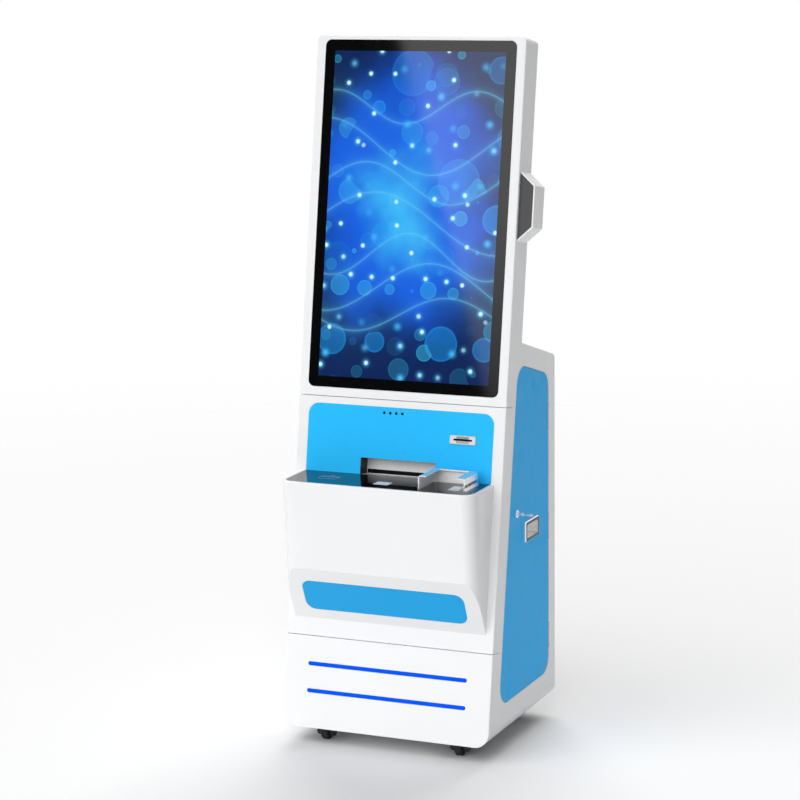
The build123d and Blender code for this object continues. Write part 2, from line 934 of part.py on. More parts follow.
def console_parts():
    body = console_solid(0, console_top, 0)
    top_edges = body.faces().sort_by(Axis.Z)[-1].edges().sort_by(Axis.Y)[:-1]
    body = fillet(top_edges, console_edge_radius)
    body = body - console_solid(console_wall, console_top - console_deck, overrun)
    glass_low = console_top - console_glass_thickness
    body = body - console_top_slab(console_rim - seat_clearance, glass_low, console_top + overrun)
    window = console_rim + console_ledge
    body = body - console_top_slab(window, console_top - console_deck - overrun, console_top)
    plane = underside_plane()
    inset_place = Pos(0, -inset_fall - inset_height / 2)
    shape = RectangleRounded(inset_width, inset_height, inset_radius)
    inset = extrude(plane * inset_place * shape, amount=-inset_thickness)
    room = RectangleRounded(
        inset_width + 2 * seat_clearance,
        inset_height + 2 * seat_clearance,
        inset_radius + seat_clearance,
    )
    body = body - extrude(plane * inset_place * room, amount=-inset_thickness)
    glass = console_top_slab(console_rim, glass_low, console_top)
    glass = glass - behind_front(seat_clearance)
    scan_middle = (scan_offset, console_front + scan_setback)
    scan_shape = (scan_middle, scan_window_width, scan_window_depth, scan_window_radius)
    scan_room = rounded_rectangle(*scan_shape, seat_clearance)
    glass = glass - level_slab(scan_room, glass_low - overrun, console_top + overrun)
    hood_middle = (hood_left + hood_width / 2, console_front + hood_setback + hood_depth / 2)
    tap_middle = (contactless_offset, console_front + contactless_setback)
    return {
        "console_shell": body,
        "console_inset": inset,
        "console_glass": glass,
        "scan_window": level_slab(rounded_rectangle(*scan_shape), glass_low, console_top),
        "code_scanner": under_glass(scan_middle, scanner_width, scanner_depth, scanner_height),
        "contactless_reader": under_glass(
            tap_middle, contactless_width, contactless_depth, contactless_height
        ),
        "document_reader": under_glass(hood_middle, reader_width, reader_depth, reader_height),
        "document_hood": document_hood(),
    }


def hood_section():
    """The hood's wall cut across, x outwards: flared foot, waist, ridge and rounded shoulder."""
    upright = (0, 1)
    inner = -hood_wall
    shoulder = hood_height - hood_top_radius
    outer_wall = Spline(
        (hood_foot, hood_foot_height),
        (-hood_waist, hood_waist_share * hood_height),
        (hood_ridge, hood_ridge_share * hood_height),
        (0, shoulder),
        tangents=(upright, upright),
    )
    flange_edge = [(-hood_top_radius, hood_height), (-hood_top_radius, hood_height - hood_wall)]
    outer_round = TangentArc((0, shoulder), flange_edge[0], tangent=upright)
    inner_round = TangentArc((inner, shoulder), flange_edge[1], tangent=upright)
    foot = Polyline((inner, shoulder), (inner, 0), (hood_foot, 0), (hood_foot, hood_foot_height))
    outline = Curve() + [outer_wall, outer_round, Line(*flange_edge), inner_round, foot]
    return make_face(outline.edges())


def hood_corners(grow):
    """Four plan corners of the open-fronted hood, from its left front end round the back."""
    left = hood_left - grow
    right = hood_left + hood_width + grow
    near = console_front + hood_setback
    far = near + hood_depth + grow
    return [(left, near), (left, far), (right, far), (right, near)]


def document_hood():
    low = console_top
    high = low + hood_height
    corners = hood_corners(0)
    route = Pos(0, 0, low) * FilletPolyline(*corners, radius=hood_corner_radius)
    start = Plane(origin=(*corners[0], low), x_dir=(-1, 0, 0), z_dir=(0, 1, 0))
    hood = sweep(start * hood_section(), path=route)
    inner_radius = hood_corner_radius - hood_top_radius
    flange = rounded_outline(hood_corners(-hood_top_radius), [0, inner_radius, inner_radius, 0])
    left = hood_left + hood_side_flange
    right = hood_left + hood_width - hood_side_flange
    near = corners[0][1] - overrun
    far = corners[1][1] - hood_rear_flange
    window = rounded_outline(
        [(left, near), (left, far), (right, far), (right, near)],
        [0, hood_window_radius, hood_window_radius, 0],
    )
    return hood + level_slab(flange - window, high - hood_wall, high)


# Side door, hinges, handle and lock


def hinge_heights():
    low = ground_clearance + door_bottom_margin + hinge_end_margin
    high = rear_height - door_top_margin - hinge_end_margin
    return [low + number * (high - low) / (hinge_count - 1) for number in range(hinge_count)]


def hinge_leaf(side, height):
    """One leaf with its knuckles; side is -1 on the door and 1 on the cabinet."""
    low = height - hinge_length / 2
    third = hinge_length / 3
    outer = hinge_axis_depth + side * hinge_gap / 2
    inner = outer - side * hinge_leaf_thickness
    near, far = min(outer, inner), max(outer, inner)
    edge = half - hinge_leaf_setback
    leaf = block(half - hinge_leaf_depth, edge, near, far, low, low + hinge_length)
    thirds = (1,) if side < 0 else (0, 2)
    for number in thirds:
        knuckle_low = low + number * third + hinge_play / 2
        knuckle_high = low + (number + 1) * third - hinge_play / 2
        middle = (half, hinge_axis_depth)
        leaf = leaf + block(edge, half, near, far, knuckle_low, knuckle_high)
        leaf = leaf + post(middle, hinge_knuckle_radius, knuckle_low, knuckle_high)
        bore = hinge_pin_radius + running_clearance
        leaf = leaf - post(middle, bore, knuckle_low, knuckle_high)
    return leaf


def hinge_parts():
    frame_leaves = Part()
    door_leaves = Part()
    pins = Part()
    for height in hinge_heights():
        frame_leaves += hinge_leaf(1, height)
        door_leaves += hinge_leaf(-1, height)
        low = height - hinge_length / 2
        pins += post((half, hinge_axis_depth), hinge_pin_radius, low, low + hinge_length)
    return {
        "hinge_frame_leaves": frame_leaves,
        "hinge_door_leaves": door_leaves,
        "hinge_pins": pins,
    }


def handle_rectangle(grow, radius):
    middle = (handle_depth_place, handle_height_place)
    return rounded_rectangle(middle, handle_width, handle_height, radius, grow)


def door_handle():
    outer = side_slab(handle_rectangle(0, handle_radius), half, half + handle_proud)
    outer = chamfer(outer.faces().sort_by(Axis.X)[-1].edges(), handle_chamfer)
    cup_round = handle_frame + handle_radius
    cup = handle_rectangle(handle_cup_wall - handle_frame, cup_round)
    pocket = handle_rectangle(-handle_frame, cup_round)
    floor = half - handle_cup_depth
    handle = outer + side_slab(cup, floor, half)
    return handle - side_slab(pocket, floor + handle_cup_wall, half + handle_proud + overrun)


def door_screw_places():
    """Screws along the door's edge: three at the rear, two below, one in front."""
    rear = door_rear - door_screw_margin
    low = ground_clearance + door_bottom_margin + door_screw_margin
    high = rear_height - door_top_margin - door_corner_radius
    front_in = door_front_margin + door_screw_margin
    front_shares = (0.224, 0.545)
    fronts = [front_point(share * (high - low), front_in) for share in front_shares]
    rear_shares = (0.051, 0.382, 1.039)
    rears = [(rear, low + share * (high - low)) for share in rear_shares]
    bottom_share = 0.56
    return rears + fronts + [(bottom_share * cabinet_depth, low + door_screw_margin)]


def door_parts():
    outline = door_outline(0, 0)
    rim = outline - door_outline(-wall, -wall)
    door = side_slab(outline, inner_half, half)
    door = door + side_slab(rim, half - door_tray_depth, half)
    cup_round = handle_frame + handle_radius
    cup_room = handle_rectangle(handle_cup_wall + seat_clearance - handle_frame, cup_round)
    door = door - side_slab(cup_room, inner_half - overrun, half + overrun)
    lock_middle = (lock_depth_place, lock_height_place)
    lock_room = lock_barrel_radius + lock_hole_clearance
    door = door - rod(lock_middle, lock_room, inner_half - overrun, half + overrun)
    vent_middle = (door_vent_depth_place, door_vent_height_place)
    door = door - rod(vent_middle, door_vent_opening_radius, inner_half - overrun, half + overrun)
    vent = rod(vent_middle, door_vent_radius, half, half + door_vent_thickness)
    holes = Pos(*vent_middle) * Circle(door_vent_hole_radius)
    for ring in range(1, door_vent_rings + 1):
        around = PolarLocations(ring * door_vent_ring_pitch, 6 * ring)
        holes += Pos(*vent_middle) * around * Circle(door_vent_hole_radius)
    vent = vent - side_slab(holes, half - overrun, half + overrun)
    screws = Part()
    for place in door_screw_places():
        screws += rod(place, door_screw_radius, half, half + door_screw_height)
    return {
        "side_door": door,
        "door_handle": door_handle(),
        "door_vent": vent,
        "door_screws": screws,
        **lock_parts(),
    }


def lock_parts():
    middle = (lock_depth_place, lock_height_place)
    tail = half - lock_barrel_length
    face = half + lock_flange_thickness
    body = rod(middle, lock_flange_radius, half, face)
    body = body + rod(middle, lock_barrel_radius, tail, half)
    body = body - rod(middle, plug_radius + running_clearance, tail - overrun, face + overrun)
    plug_face = face + plug_proud
    plug_end = tail - plug_tail
    plug = rod(middle, plug_radius, plug_end, plug_face)
    keyway = Pos(*middle) * Rectangle(
        keyway_width + 2 * keyway_clearance, keyway_thickness + 2 * keyway_clearance
    )
    blade_end = plug_face - keyway_depth
    plug = plug - side_slab(keyway, blade_end - keyway_clearance, plug_face + overrun)
    blade = Pos(*middle) * Rectangle(keyway_width, keyway_thickness)
    tip = half + key_reach
    shoulder_end = plug_face + key_shoulder_length
    key = side_slab(blade, blade_end, tip - key_bow_length)
    key = key + rod(middle, key_shoulder_radius, plug_face, shoulder_end)
    bow_middle = (tip - key_bow_length / 2, lock_depth_place)
    bow = rounded_rectangle(bow_middle, key_bow_length, key_bow_width, key_bow_radius)
    ring_place = Pos(tip - key_bow_radius, lock_depth_place)
    bow = bow - ring_place * Circle(key_ring_hole_radius)
    bow_low = lock_height_place - keyway_thickness / 2
    key = key + level_slab(bow, bow_low, bow_low + keyway_thickness)
    cam_middle = Pos(lock_depth_place, lock_height_place + (cam_length - cam_width / 2) / 2)
    cam_shape = SlotOverall(cam_length + cam_width / 2, cam_width, rotation=90)
    return {
        "lock_body": body,
        "lock_plug": plug,
        "door_key": key,
        "lock_cam": side_slab(cam_middle * cam_shape, plug_end - cam_thickness, plug_end),
    }


# Mains inlet, switch and electronics


def inlet_parts():
    rear = cabinet_depth - wall
    face = cabinet_depth - inlet_recess
    body = rear_slab(inlet_rectangle(0), rear - inlet_depth, face)
    flange = inlet_rectangle(inlet_flange)
    body = body + rear_slab(flange, rear - inlet_flange_thickness, rear)
    height = ground_clearance + inlet_rise
    socket = Pos(inlet_offset, height - socket_drop) * Rectangle(socket_width, socket_height)
    body = body - rear_slab(socket, face - socket_depth, face + overrun)
    rocker_place = Pos(inlet_offset, height + rocker_rise)
    room = Rectangle(
        rocker_width + 2 * rocker_clearance, rocker_height + 2 * rocker_clearance
    )
    body = body - rear_slab(rocker_place * room, face - rocker_pocket_depth, face + overrun)
    pivot = (face - rocker_pivot_depth, height + rocker_rise)
    left = inlet_offset - rocker_width / 2
    right = inlet_offset + rocker_width / 2
    stub = 2 * rocker_clearance
    bore = rocker_pivot_radius + running_clearance
    body = body - rod(pivot, bore, left - stub - rocker_clearance, right + stub + rocker_clearance)
    reach_half = (rocker_height - rocker_clearance) / 2
    profile = make_face(
        Polyline(
            (rocker_crown, -reach_half),
            (rocker_dip, 0),
            (rocker_crown, reach_half),
            (-rocker_crown, reach_half),
            (-2 * rocker_crown, 0),
            (-rocker_crown, -reach_half),
            close=True,
        )
    )
    rocker = side_slab(Pos(*pivot) * Rot(0, 0, rocker_tilt_deg) * profile, left, right)
    rocker = rocker + rod(pivot, rocker_pivot_radius, left - stub, right + stub)
    return {"power_inlet": body, "power_rocker": rocker}


def electronics():
    left = -inner_half
    high = shelf_height() - shelf_flange - controller_shelf_gap
    low = high - controller_height
    far = controller_setback + controller_depth
    controller = block(
        left, left + controller_thickness, controller_setback, far, low, high
    )
    pitch = controller_depth / controller_fin_count
    for number in range(controller_fin_count):
        near = controller_setback + number * pitch + controller_fin_thickness
        groove = block(
            left + controller_thickness - controller_fin_depth,
            left + controller_thickness + overrun,
            near,
            near + pitch - controller_fin_thickness,
            low - overrun,
            high + overrun,
        )
        controller = controller - groove
    supply_high = low - supply_controller_gap
    supply = block(
        left,
        left + supply_thickness,
        controller_setback,
        controller_setback + supply_depth,
        supply_high - supply_height,
        supply_high,
    )
    return {"controller_box": controller, "power_supply": supply}


# Base frame and castors


def base_frame():
    low = ground_clearance + wall
    frame = Part()
    for side in (-1, 1):
        place = Pos(side * rail_place, low + frame_height / 2)
        tube = Rectangle(rail_width, frame_height)
        tube -= Rectangle(rail_width - 2 * rail_wall, frame_height - 2 * rail_wall)
        frame += rear_slab(place * tube, rail_margin, cabinet_depth - rail_margin)
    for setback in (castor_front_setback, castor_rear_setback):
        frame += block(
            -castor_mount_width / 2,
            castor_mount_width / 2,
            setback - castor_mount_depth / 2,
            setback + castor_mount_depth / 2,
            castor_height,
            castor_height + castor_mount_thickness,
        )
    return frame


def castor_plate(side, setback):
    low = castor_height - castor_plate_thickness
    size = castor_plate_size / 2
    plate = block(side - size, side + size, setback - size, setback + size, low, castor_height)
    plate = plate + post((side, setback), castor_housing_radius, low - castor_housing_height, low)
    bore = kingpin_radius + running_clearance
    return plate - post((side, setback), bore, low - castor_housing_height, low + kingpin_top_gap)


def castor_fork(side, setback, trail, braked):
    """Fork with its kingpin and riveted axle; trail is -1 forwards and 1 backwards."""
    plate_low = castor_height - castor_plate_thickness
    disc_high = plate_low - castor_housing_height - castor_disc_gap
    disc_low = disc_high - castor_disc_thickness
    fork = post((side, setback), castor_disc_radius, disc_low, disc_high)
    fork = fork + post((side, setback), kingpin_radius, disc_high, plate_low)
    axle = (setback + trail * castor_trail, castor_wheel_radius)
    shoulder = Pos(setback, disc_low + castor_disc_thickness / 2)
    outline = shoulder * Rectangle(castor_leg_span, castor_disc_thickness)
    outline += Pos(*axle) * Circle(castor_leg_boss)
    pivot = (setback + trail * brake_pivot_reach, brake_pivot_height)
    if braked:
        outline += Pos(*pivot) * Circle(brake_lug_radius)
    leg = make_hull(outline.edges())
    inner = castor_wheel_width / 2 + castor_leg_gap
    outer = inner + castor_leg_thickness
    for way in (-1, 1):
        edges = sorted((side + way * inner, side + way * outer))
        fork = fork + side_slab(leg, *edges)
    fork = fork + rod(axle, castor_axle_radius, side - outer, side + outer)
    for way in (-1, 1):
        edges = sorted((side + way * outer, side + way * (outer + castor_cap_height)))
        cap = rod(axle, castor_cap_radius, *edges)
        cap_rim = cap.faces().sort_by(Axis.X, reverse=way < 0)[-1].edges()
        fork = fork + chamfer(cap_rim, castor_cap_chamfer)
    if braked:
        fork = fork + rod(pivot, brake_pin_radius, side - outer, side + outer)
    return fork


def castor_wheel(side, setback, trail):
    axle = (setback + trail * castor_trail, castor_wheel_radius)
    width = castor_wheel_width / 2
    rim = castor_wheel_radius - castor_rim_width
    wheel = rod(axle, castor_wheel_radius, side - width, side + width)
    tread = wheel.edges().filter_by(GeomType.CIRCLE)
    wheel = fillet(tread, castor_tread_radius)
    ring = Pos(*axle) * (Circle(rim) - Circle(castor_hub_radius))
    for way in (-1, 1):
        edges = sorted((side + way * (width - castor_web_recess), side + way * (width + overrun)))
        wheel = wheel - side_slab(ring, *edges)
    bore = castor_axle_radius + running_clearance
    return wheel - rod(axle, bore, side - width - overrun, side + width + overrun)


def brake_pedal(side, setback, trail):
    pivot = (setback + trail * brake_pivot_reach, brake_pivot_height)
    width = castor_wheel_width / 2 + castor_leg_gap - brake_side_gap
    pedal = rod(pivot, brake_barrel_radius, side - width, side + width)
    lobe_angle = math.radians(brake_lobe_deg)
    lobe_step = brake_lobe_radius - brake_pin_radius
    lobe = (
        pivot[0] - trail * lobe_step * math.sin(lobe_angle),
        pivot[1] - lobe_step * math.cos(lobe_angle),
    )
    nose = Pos(*lobe) * Circle(brake_pin_radius)
    shape = make_hull((nose + Pos(*pivot) * Circle(brake_barrel_radius)).edges())
    pedal = pedal + side_slab(shape, side - width, side + width)
    high = pivot[1] + brake_barrel_radius
    low = high - brake_pedal_thickness
    tip = pivot[0] + trail * brake_pedal_length
    tread_start = pivot[0] + trail * (brake_lug_radius + brake_lug_gap)
    tread_half = brake_tread_width / 2
    pedal = pedal + block(side - width, side + width, *sorted((pivot[0], tip)), low, high)
    tread = sorted((tread_start, tip))
    pedal = pedal + block(side - tread_half, side + tread_half, *tread, low, high)
    return pedal - rod(pivot, brake_pin_radius + running_clearance, side - reach, side + reach)


def castor_parts():
    nodes = {"castor_plates": Part()}
    for end, setback, trail in (
        ("front", castor_front_setback, -1),
        ("rear", castor_rear_setback, 1),
    ):
        for hand, way in (("left", -1), ("right", 1)):
            side = way * castor_place
            braked = end == "front"
            nodes["castor_plates"] += castor_plate(side, setback)
            nodes[f"castor_fork_{end}_{hand}"] = castor_fork(side, setback, trail, braked)
            nodes[f"castor_wheel_{end}_{hand}"] = castor_wheel(side, setback, trail)
            if braked:
                nodes[f"brake_pedal_{end}_{hand}"] = brake_pedal(side, setback, trail)
    return nodes


def kiosk():
    return {
        **cabinet_panels(),
        "base_frame": base_frame(),
        "light_strips": light_strips(),
        **display_parts(),
        **pod_parts(),
        **graphic_parts(),
        **printer_parts(),
        **console_parts(),
        **hinge_parts(),
        **door_parts(),
        **inlet_parts(),
        **electronics(),
        **castor_parts(),
    }


os.makedirs("parts", exist_ok=True)
to_origin = Pos(-origin_side, -origin_depth, 0)
for name, solid in kiosk().items():
    export_step(to_origin * solid, f"parts/{name}.step")
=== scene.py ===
"""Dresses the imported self-service kiosk: finishes, lit screen, small fittings and a studio stage."""

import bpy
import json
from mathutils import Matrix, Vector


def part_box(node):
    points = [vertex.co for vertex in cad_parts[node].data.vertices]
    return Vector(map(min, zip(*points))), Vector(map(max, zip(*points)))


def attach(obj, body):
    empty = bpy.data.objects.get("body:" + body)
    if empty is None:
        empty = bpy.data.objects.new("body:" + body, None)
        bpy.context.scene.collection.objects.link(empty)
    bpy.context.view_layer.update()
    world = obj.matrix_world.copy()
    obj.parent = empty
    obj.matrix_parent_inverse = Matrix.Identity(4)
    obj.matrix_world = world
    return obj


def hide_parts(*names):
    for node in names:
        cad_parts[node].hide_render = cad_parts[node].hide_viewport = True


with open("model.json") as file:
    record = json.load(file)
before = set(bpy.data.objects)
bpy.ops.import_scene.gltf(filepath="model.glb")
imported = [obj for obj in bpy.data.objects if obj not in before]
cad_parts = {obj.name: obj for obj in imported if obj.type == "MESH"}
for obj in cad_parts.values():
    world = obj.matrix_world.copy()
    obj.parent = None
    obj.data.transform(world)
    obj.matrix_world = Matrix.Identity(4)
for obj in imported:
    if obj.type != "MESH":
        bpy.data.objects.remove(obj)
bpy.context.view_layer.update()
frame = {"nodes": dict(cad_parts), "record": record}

import json
import math

import bmesh
import bpy
from bpy.props import FloatProperty, FloatVectorProperty, PointerProperty
from mathutils import Matrix, Vector

bl_info = {
    "name": "Self-service kiosk dressing",
    "version": (1, 0, 0),
    "blender": (4, 5, 0),
    "location": "3D View > Sidebar > Kiosk",
    "description": "Finishes, lit screen, small fittings and a studio stage for the kiosk",
    "category": "Object",
}

MM = 0.001
NODES = frame["nodes"]
WHITE = (1.0, 1.0, 1.0)
BLACK = (0.0, 0.0, 0.0)
RIGHTWARDS = (1.0, 0.0, 0.0)
UPWARDS = (0.0, 0.0, 1.0)


def grey(value):
    return (value, value, value)


def darker(tint, share):
    return tuple(part * share for part in tint)


def colour_prop(label, words, value):
    return FloatVectorProperty(
        name=label, description=words, default=value, subtype="COLOR", min=0.0, max=1.0
    )


def length_prop(label, words, value):
    return FloatProperty(name=label, description=words, default=value, unit="LENGTH", min=0.0)


def angle_prop(label, words, degrees):
    return FloatProperty(name=label, description=words, default=math.radians(degrees), subtype="ANGLE")


def strength_prop(label, words, value, top):
    return FloatProperty(name=label, description=words, default=value, min=0.0, max=top)


class KioskFinishes(bpy.types.PropertyGroup):
    """Colours of the kiosk's finishes, among them painted shade, a painted highlight and a painted
    reflection, and how much its lights give off.
    """

    body_white: colour_prop("Body white", "Powder coat on the cabinet", (0.86, 0.865, 0.875))
    panel_blue: colour_prop("Panel blue", "Front panel", (0.022, 0.508, 1.0))
    inlay_blue: colour_prop("Inlay blue", "Console inlay", (0.022, 0.39, 0.80))
    door_blue: colour_prop("Door blue", "Side door and its vent", (0.015, 0.48, 0.99))
    strip_blue: colour_prop("Strip blue", "Light strips in the lower front", (0.0, 0.105, 1.0))
    glass_black: colour_prop("Glass black", "Screen border and console top", (0.002, 0.002, 0.0022))
    metal_bright: colour_prop("Bright metal", "Outside of the hood", (0.84, 0.84, 0.85))
    # The hood's inside is pale and diffuse as a painted reflection of the bright room
    hood_silver: colour_prop("Hood silver", "Satin inside of the hood", grey(0.98))
    lock_chrome: colour_prop("Lock chrome", "Lock and key", (0.93, 0.93, 0.94))
    # The handle's bevels and lips are painted bright as a painted highlight
    handle_edge: colour_prop("Handle edge", "Bevels and lips of the handle", grey(0.98))
    handle_cup: colour_prop("Handle cup", "Floor of the handle's cup", grey(0.62))
    handle_rim: colour_prop("Handle rim", "Flat rim round the handle's cup", grey(0.03))
    bezel_face: colour_prop("Bezel face", "Face of the card bezel", grey(0.74))
    # The scoop is painted dark as painted shade in the recess
    bezel_scoop: colour_prop("Bezel scoop", "Finger scoop in the card bezel", grey(0.035))
    # The outlet's back plate is painted darker upwards and its walls near black, both as painted shade
    outlet_foot: colour_prop("Outlet foot", "Lower end of the paper outlet's back plate", grey(0.98))
    outlet_top: colour_prop("Outlet top", "Upper end of the paper outlet's back plate", grey(0.90))
    outlet_wall: colour_prop("Outlet wall", "Walls of the paper outlet", grey(0.03))
    outlet_floor: colour_prop("Outlet floor", "Floor of the paper outlet", grey(0.5))
    scan_frost: colour_prop("Scan frost", "Scan window", (0.72, 0.75, 0.78))
    document_frost: colour_prop("Document frost", "Window under the hood", (0.62, 0.66, 0.70))
    mark_ink: colour_prop("Mark ink", "Tap mark on the console glass", (0.36, 0.46, 0.54))
    pod_dark: colour_prop("Pod dark", "Window of the side pod", (0.085, 0.085, 0.087))
    screw_steel: colour_prop("Screw steel", "Screw heads on the door", (0.3, 0.34, 0.38))
    module_aluminium: colour_prop("Module aluminium", "Controller and power supply", (0.62, 0.63, 0.64))
    plated_steel: colour_prop("Plated steel", "Frame, hinges and brackets", (0.55, 0.55, 0.54))
    plastic_black: colour_prop("Black plastic", "Castors and modules", (0.018, 0.018, 0.019))
    strip_glow: strength_prop("Strip glow", "Light the strips give off", 1.0, 5.0)
    screen_glow: strength_prop("Screen glow", "Light the picture gives off", 1.0, 5.0)


class KioskSizes(bpy.types.PropertyGroup):
    """Sizes of the lit picture and of the small fittings that are added to the frame."""

    lean: angle_prop("Lean", "Lean of the front", 9.42)
    picture_width: length_prop("Picture width", "Lit width of the screen", 529.4 * MM)
    picture_height: length_prop("Picture height", "Lit height of the screen", 941.2 * MM)
    mark_line: length_prop("Mark line", "Line width of the tap mark", 1.1 * MM)
    mark_width: length_prop("Mark width", "Width of the card in the tap mark", 56.0 * MM)
    mark_proud: length_prop("Mark height", "How far mark and window stand off the glass", 0.15 * MM)
    window_width: length_prop("Window width", "Width of the window under the hood", 33.0 * MM)
    window_depth: length_prop("Window depth", "Depth of the window under the hood", 54.0 * MM)
    window_corner: length_prop("Window corner", "Corner radius of that window", 3.0 * MM)
    screw_radius: length_prop("Screw radius", "Heads along the door's edge", 3.0 * MM)
    screw_proud: length_prop("Screw height", "How far the heads stand off the door", 1.0 * MM)


class KioskStage(bpy.types.PropertyGroup):
    """Camera, lamps and floor."""

    lens: FloatProperty(
        name="Lens", description="Focal length in mm on a 36 mm frame", default=116.15, unit="CAMERA"
    )
    camera_yaw: angle_prop("Yaw", "Camera turned to the left", 23.53)
    camera_pitch: angle_prop("Pitch", "Camera tilted down", 10.50)
    camera_roll: angle_prop("Roll", "Camera rolled", -0.68)
    camera_place: FloatVectorProperty(
        name="Place", description="Where the camera stands", default=(2.8752, -6.767223, 2.3572),
        subtype="XYZ", unit="LENGTH",
    )
    front_light: strength_prop("Front light", "Strength of the soft light from the front left", 2.65, 20.0)
    back_light: strength_prop("Back light", "Strength of the soft light from above and behind", 2.2, 20.0)
    room_light: strength_prop("Room light", "Even light from all round", 0.165, 5.0)
    floor_tone: colour_prop("Floor", "Pale studio floor", grey(0.75))
    floor_seen: colour_prop("Floor seen", "The floor's colour as the camera sees it", grey(0.78))
    floor_radius: length_prop("Floor radius", "Where the floor has faded into the white room", 7.0)


def finishes():
    return bpy.context.scene.kiosk_finishes


def sizes():
    return bpy.context.scene.kiosk_sizes


def stage():
    return bpy.context.scene.kiosk_stage


# Node building


class Wiring:
    """Adds nodes to a node tree; a value that is a socket is linked, any other is set."""

    # A Mix node has sockets of the same name for each kind of data; these are its colour ones
    FIRST_COLOUR = 6
    SECOND_COLOUR = 7
    MIXED_COLOUR = 2

    def __init__(self, tree):
        self.tree = tree

    def feed(self, socket, value):
        if isinstance(value, bpy.types.NodeSocket):
            self.tree.links.new(value, socket)
        else:
            if socket.type == "RGBA" and len(value) == 3:
                value = (*value, 1.0)
            socket.default_value = value

    def feed_all(self, inputs, values):
        for key, value in values.items():
            self.feed(inputs[key], value)

    def add(self, kind, sockets=None, **settings):
        node = self.tree.nodes.new(kind)
        for key, value in settings.items():
            setattr(node, key, value)
        self.feed_all(node.inputs, sockets or {})
        return node

    def math(self, operation, *values):
        return self.add("ShaderNodeMath", dict(enumerate(values)), operation=operation).outputs[0]

    def vector(self, operation, *values):
        return self.add("ShaderNodeVectorMath", dict(enumerate(values)), operation=operation).outputs

    def ramp(self, value, low, high, to_low=0.0, to_high=1.0):
        """Smooth change from to_low at low to to_high at high; low may be the larger."""
        sockets = {"Value": value, "From Min": low, "From Max": high, "To Min": to_low, "To Max": to_high}
        return self.add("ShaderNodeMapRange", sockets, interpolation_type="SMOOTHSTEP").outputs[0]

    def mix(self, share, first, second, blend="MIX"):
        sockets = {"Factor": share, self.FIRST_COLOUR: first, self.SECOND_COLOUR: second}
        settings = {"data_type": "RGBA", "blend_type": blend, "clamp_factor": True}
        return self.add("ShaderNodeMix", sockets, **settings).outputs[self.MIXED_COLOUR]

    def noise(self, where, scale, detail):
        sockets = {"Vector": where, "Scale": scale, "Detail": detail}
        return self.add("ShaderNodeTexNoise", sockets).outputs["Fac"]


def place_in_row(wiring):
    """Object coordinates, which are the row's own, because each node sits at the origin."""
    return wiring.add("ShaderNodeTexCoord").outputs["Object"]


def run_along(wiring, where, run):
    """How far a place or direction reaches along a run."""
    return wiring.vector("DOT_PRODUCT", where, run)["Value"]


def own_normal(wiring):
    """Which way a face looks in its node's own frame, so that it holds when the node's body moves."""
    sockets = {"Vector": wiring.add("ShaderNodeNewGeometry").outputs["True Normal"]}
    settings = {"vector_type": "NORMAL", "convert_from": "WORLD", "convert_to": "OBJECT"}
    return wiring.add("ShaderNodeVectorTransform", sockets, **settings).outputs[0]


# Shared effects


SKIN_GIVES = (("Color", "c"), ("Roughness", "f"), ("Height", "f"))
SOCKET_KINDS = {"c": "NodeSocketColor", "f": "NodeSocketFloat", "v": "NodeSocketVector"}
# The values of a noise between which a skin changes
NOISE_BAND = (0.3, 0.7)


def start_group(name, takes, gives):
    tree = bpy.data.node_groups.new(name, "ShaderNodeTree")
    for label, kind in takes:
        tree.interface.new_socket(label, in_out="INPUT", socket_type=SOCKET_KINDS[kind])
    for label, kind in gives:
        tree.interface.new_socket(label, in_out="OUTPUT", socket_type=SOCKET_KINDS[kind])
    wiring = Wiring(tree)
    entry = wiring.add("NodeGroupInput")
    leave = wiring.add("NodeGroupOutput")
    return wiring, entry.outputs, leave.inputs


def coated_skin(name):
    """Coat or moulded plastic: slow tone change, fine grain, gloss that varies."""
    tone_band = (0.35, 0.65)
    takes = (("Tint", "c"), ("Shade", "c"), ("Grain", "f"), ("Smoothest", "f"), ("Roughest", "f"))
    wiring, entry, leave = start_group(name, takes, SKIN_GIVES)
    where = place_in_row(wiring)
    slow = wiring.noise(where, scale=3.5, detail=3.0)
    patch = wiring.noise(where, scale=24.0, detail=4.0)
    tone = wiring.ramp(slow, *tone_band)
    wiring.feed(leave["Color"], wiring.mix(tone, entry["Tint"], entry["Shade"]))
    wiring.feed(leave["Roughness"], wiring.ramp(patch, *NOISE_BAND, entry["Smoothest"], entry["Roughest"]))
    wiring.feed(leave["Height"], wiring.noise(where, scale=entry["Grain"], detail=2.0))
    return wiring.tree


def drawn_metal(name):
    """Brushed or polished metal: fine lines along one axis."""
    line_share, cloud_share = 0.6, 0.4
    takes = (("Tint", "c"), ("Shade", "c"), ("Stretch", "v"), ("Smoothest", "f"), ("Roughest", "f"))
    wiring, entry, leave = start_group(name, takes, SKIN_GIVES)
    where = place_in_row(wiring)
    lines = wiring.noise(wiring.vector("MULTIPLY", where, entry["Stretch"])[0], scale=1.0, detail=3.0)
    cloud = wiring.noise(where, scale=30.0, detail=3.0)
    tone = wiring.ramp(lines, *NOISE_BAND)
    wiring.feed(leave["Color"], wiring.mix(tone, entry["Tint"], entry["Shade"]))
    both = wiring.math("MULTIPLY_ADD", lines, line_share, wiring.math("MULTIPLY", cloud, cloud_share))
    wiring.feed(leave["Roughness"], wiring.ramp(both, *NOISE_BAND, entry["Smoothest"], entry["Roughest"]))
    wiring.feed(leave["Height"], lines)
    return wiring.tree


def wiped_glass(name):
    """Polished glass with faint wiping marks in its gloss."""
    stretch = (9.0, 9.0, 3.0)
    mark_band = (0.45, 0.75)
    takes = (("Smoothest", "f"), ("Roughest", "f"))
    wiring, entry, leave = start_group(name, takes, (("Roughness", "f"),))
    marks = wiring.noise(wiring.vector("MULTIPLY", place_in_row(wiring), stretch)[0], scale=1.0, detail=6.0)
    wiring.feed(leave["Roughness"], wiring.ramp(marks, *mark_band, entry["Smoothest"], entry["Roughest"]))
    return wiring.tree


